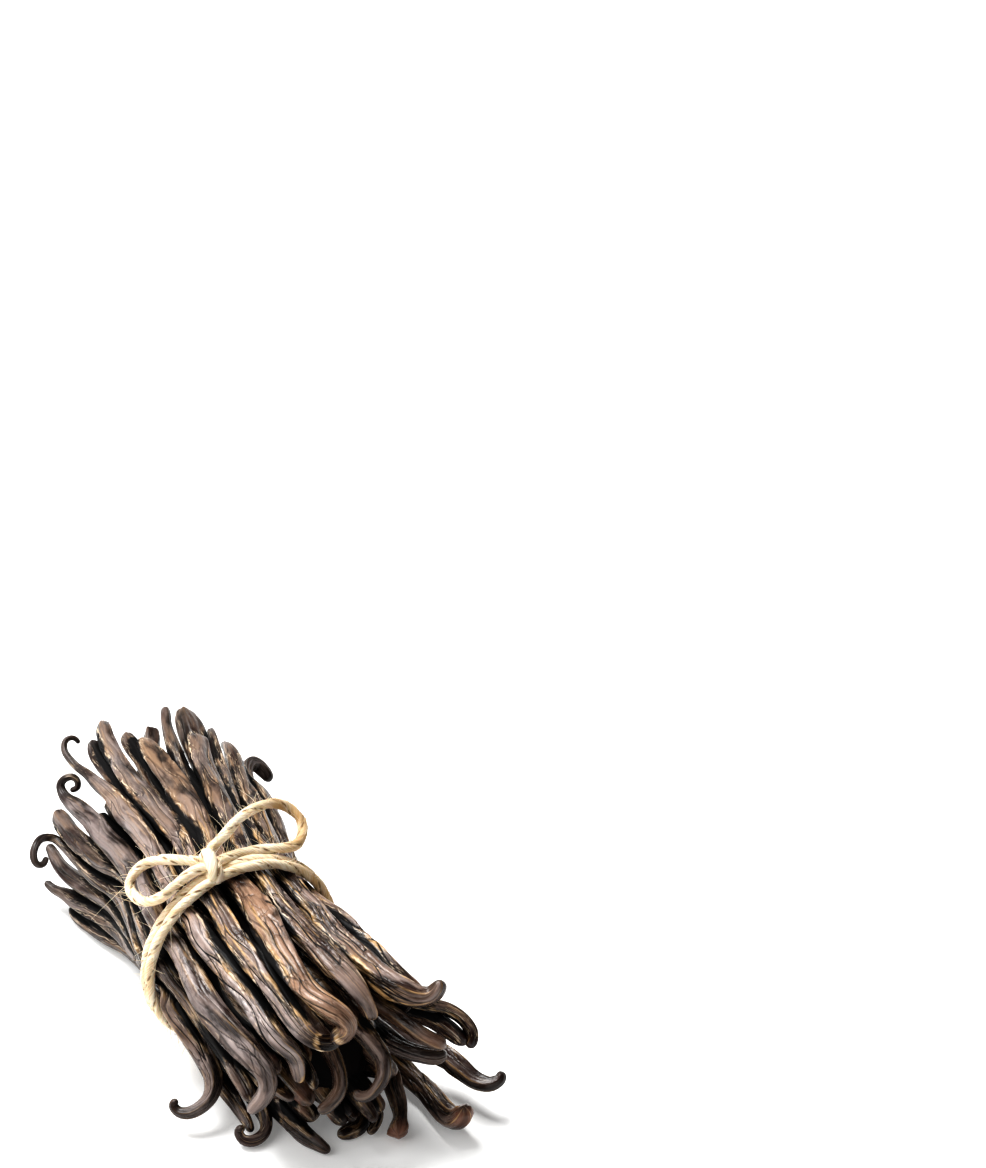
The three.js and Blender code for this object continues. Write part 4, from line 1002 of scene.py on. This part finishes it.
def add_strand(parts, points, closed, radius, seed):
    """A two-ply strand: two plies laid round each other, each with its own fibre ridges."""
    pitch = bpy.context.scene.vanilla_twine.ply_pitch
    line = curve_through(points, closed, 0.45)
    total = lengths_along(line)[-1]
    turns = max(1, round(total / pitch)) if closed else total / pitch
    along = np.linspace(0, total, len(line))
    _heading, ups, side_ways = carried_frames(line)
    sides = 14
    psi = np.linspace(0, 2 * math.pi, sides, endpoint=False)[None, :].repeat(len(line), 0)
    s = along[:, None].repeat(sides, 1)
    ply_radius, offset = PLY_RADIUS * radius, PLY_OFFSET * radius
    for ply in (0, 1):
        phase = 2 * math.pi * turns * along / total + math.pi * ply + 6.3 * chance(seed, 1)
        out = ups * np.cos(phase)[:, None] + side_ways * np.sin(phase)[:, None]
        across = side_ways * np.cos(phase)[:, None] - ups * np.sin(phase)[:, None]
        swell = 1 + 0.05 * np.sin(s / 3.1 + 5 * chance(seed, 2 + ply)) + 0.035 * np.cos(6 * psi - s * 0.9)
        reach = ply_radius * swell
        skin = (
            line[:, None]
            + out[:, None] * (offset + np.cos(psi) * reach)[..., None]
            + across[:, None] * (np.sin(psi) * reach * 1.12)[..., None]
        )
        stitch = smooth_step(0.9 + 1.6 * np.sin(2 * math.pi * s / 3.0 + 2.5 * np.sin(s / 9 + seed)))
        values = {
            "fibre": np.stack([np.cos(psi - s * 0.25), np.sin(psi - s * 0.25), s + 40 * ply], axis=-1),
            "groove": smooth_step(0.36 - 2.0 * np.cos(psi)) * (0.3 + 0.7 * stitch),
            # more golden tan towards the right-hand side
            "aged": smooth_step((line[:, :1] - 12) / 9).repeat(sides, 1),
        }
        parts.add_tube(skin, values, tips=not closed)


def add_hair(parts, root, heading, length, sag, radius):
    """A loose fibre: a thin curved thread that starts inside the twine."""
    t = np.linspace(0, 1, 7)[:, None]
    line = root + heading * length * t + np.asarray(sag) * t**2
    line[:, 2] = np.maximum(line[:, 2], 0.1)
    _heading, ups, side_ways = carried_frames(line)
    around = np.linspace(0, 2 * math.pi, 3, endpoint=False)[None, :, None]
    thin = radius * (1 - 0.7 * t)[:, :, None]
    rings = line[:, None] + (ups[:, None] * np.cos(around) + side_ways[:, None] * np.sin(around)) * thin
    values = {
        "fibre": np.zeros((7, 3, 3)) + root,
        "groove": np.full((7, 3), 0.2),
        "aged": np.zeros((7, 3)),
    }
    parts.add_tube(rings, values)


# Operators.


class VANILLA_OT_camera(Operator):
    """Adds the camera"""

    bl_idname = "vanilla.camera"
    bl_label = "Camera"

    def execute(self, context):
        x, y, z = CAMERA_FORWARD
        tilt = math.acos(-z)
        turn = math.atan2(-x, y)
        bpy.ops.object.camera_add(location=to_frame(CAMERA_PLACE), rotation=(tilt, 0, turn))
        camera = context.object
        camera.name = "view_camera"
        camera.data.sensor_width = CAMERA_FRAME
        camera.data.lens = CAMERA_LENS
        camera.data.clip_start = 0.01
        context.scene.camera = camera
        return {"FINISHED"}


class VANILLA_OT_stage(Operator):
    """Adds the pale floor and the soft light"""

    bl_idname = "vanilla.stage"
    bl_label = "Floor and Light"

    def execute(self, context):
        scene = context.scene
        bpy.ops.mesh.primitive_plane_add(size=FLOOR_SIZE, location=(0, 0, 0))
        floor = context.object
        floor.name = "floor"
        floor.data.materials.append(material_for(floor_paper))
        studio = scene.vanilla_studio
        for name, (azimuth, elevation), spread, strength in (
            ("key", KEY_FROM, KEY_SPREAD, studio.key_strength),
            ("fill", FILL_FROM, FILL_SPREAD, studio.fill_strength),
        ):
            rotation = (math.radians(90 - elevation), 0, math.radians(180 - azimuth))
            bpy.ops.object.light_add(type="SUN", rotation=rotation)
            light = context.object
            light.name = name
            light.data.energy = strength
            light.data.angle = math.radians(spread)
        world = bpy.data.worlds.new("white_studio")
        world.use_nodes = True
        background = world.node_tree.nodes["Background"]
        background.inputs["Color"].default_value = (1.0, 1.0, 1.0, 1)
        background.inputs["Strength"].default_value = studio.sky_strength
        scene.world = world
        scene.view_settings.view_transform = "Standard"
        scene.view_settings.look = "High Contrast"
        return {"FINISHED"}


class VANILLA_OT_core(Operator):
    """Adds the filled middle of the bundle, which only shows as darkness between the pods"""

    bl_idname = "vanilla.core"
    bl_label = "Dark Middle"

    def execute(self, context):
        around = np.linspace(0, 2 * math.pi, 96, endpoint=False)
        rows = np.array(CORE_ROWS)
        rows = resampled(rows, np.linspace(0, lengths_along(rows[:, :3])[-1], 60))
        y, x, z, half_width, half_height = (column[:, None] for column in rows.T)
        lobes = 1 - 0.14 * np.abs(np.cos(5 * around + 0.6 * np.sin(y / 7)))
        across, up = x + half_width * lobes * np.sin(around), z + half_height * lobes * np.cos(around)
        parts = MeshParts()
        parts.add_tube(np.stack([across, y + 0 * around, up], axis=-1), {})
        placed(parts.finished("pod_bundle_core", 60), dark_inside, "pods")
        return {"FINISHED"}


class VANILLA_OT_pods(Operator):
    """Adds one group of pods, each with its own line, wrinkles and tips"""

    bl_idname = "vanilla.pods"
    bl_label = "Pods"

    group: StringProperty(name="Group", description="Which pods", default="pods_top")

    def execute(self, context):
        rows, sides, step = POD_GROUPS[self.group]
        parts = MeshParts()
        for row, ring, seed, look in rows:
            add_pod(parts, row, ring, seed, look, sides, step, context.scene.vanilla_pods)
        placed(parts.finished(self.group), vanilla_skin, "pods")
        return {"FINISHED"}


class VANILLA_OT_twine(Operator):
    """Adds the two turns of twine, the knot and the bow"""

    bl_idname = "vanilla.twine"
    bl_label = "Twine"

    def execute(self, context):
        parts = MeshParts()
        add_strand(parts, ring_points(BAND_RADIUS, -BAND_SPACING / 2), True, TWINE_RADIUS, 1)
        add_strand(parts, ring_points(BAND_RADIUS, BAND_SPACING / 2), True, TWINE_RADIUS, 2)
        add_strand(parts, LEFT_LOOP, False, TWINE_RADIUS, 3)
        add_strand(parts, RIGHT_LOOP, False, TWINE_RADIUS, 4)
        add_strand(parts, knot_points(), True, TWINE_RADIUS * KNOT_THICKNESS, 5)
        placed(parts.finished("twine_and_bow"), jute, "twine")
        return {"FINISHED"}


class VANILLA_OT_hairs(Operator):
    """Adds the loose fibres that stand off the twine"""

    bl_idname = "vanilla.hairs"
    bl_label = "Loose Hairs"

    def execute(self, context):
        rng = np.random.default_rng(7)
        routes = [
            curve_through(ring_points(BAND_RADIUS, -BAND_SPACING / 2), True, 1.0),
            curve_through(LEFT_LOOP, False, 1.0),
            curve_through(RIGHT_LOOP, False, 1.0),
            *[curve_through(knot_points(), True, 1.0)] * 2,
        ]
        roots = np.concatenate(routes)
        middle = np.array([0, 0, TIE_HEIGHT])
        shortest, longest = HAIR_LENGTHS
        parts = MeshParts()
        for _ in range(context.scene.vanilla_twine.hair_count):
            root = roots[rng.integers(len(roots))]
            outward = unit(root - middle)
            heading = unit(outward * 0.9 + rng.normal(size=3) * 0.75)
            length = shortest + (longest - shortest) * rng.random() ** 3
            sag = rng.normal(size=3) * length * 0.45
            add_hair(parts, root + heading * 0.9, heading, length, sag, HAIR_RADIUS)
        placed(parts.finished("twine_hairs"), jute, "twine")
        return {"FINISHED"}


class VANILLA_PT_panel(Panel):
    """Lists the pieces of the bundle"""

    bl_idname = "VANILLA_PT_panel"
    bl_label = "Vanilla Pod Bundle"
    bl_space_type = "VIEW_3D"
    bl_region_type = "UI"
    bl_category = "Vanilla"

    def draw(self, context):
        for group in SETTINGS:
            settings = getattr(context.scene, group)
            for name in settings.bl_rna.properties.keys():
                if name not in ("name", "rna_type"):
                    self.layout.prop(settings, name)
        for operator in OPERATORS:
            if operator is not VANILLA_OT_pods:
                self.layout.operator(operator.bl_idname)
        for group in POD_GROUPS:
            self.layout.operator(VANILLA_OT_pods.bl_idname, text=group).group = group


OPERATORS = (
    VANILLA_OT_camera,
    VANILLA_OT_stage,
    VANILLA_OT_core,
    VANILLA_OT_pods,
    VANILLA_OT_twine,
    VANILLA_OT_hairs,
)
CLASSES = (*SETTINGS.values(), *OPERATORS, VANILLA_PT_panel)


def register():
    for cls in CLASSES:
        bpy.utils.register_class(cls)
    for name, cls in SETTINGS.items():
        setattr(bpy.types.Scene, name, PointerProperty(type=cls))


def unregister():
    for name in SETTINGS:
        delattr(bpy.types.Scene, name)
    for cls in reversed(CLASSES):
        bpy.utils.unregister_class(cls)


def main():
    register()
    bpy.ops.vanilla.camera()
    bpy.ops.vanilla.stage()
    bpy.ops.vanilla.core()
    for group in POD_GROUPS:
        bpy.ops.vanilla.pods(group=group)
    bpy.ops.vanilla.twine()
    bpy.ops.vanilla.hairs()


if __name__ == "__main__":
    main()
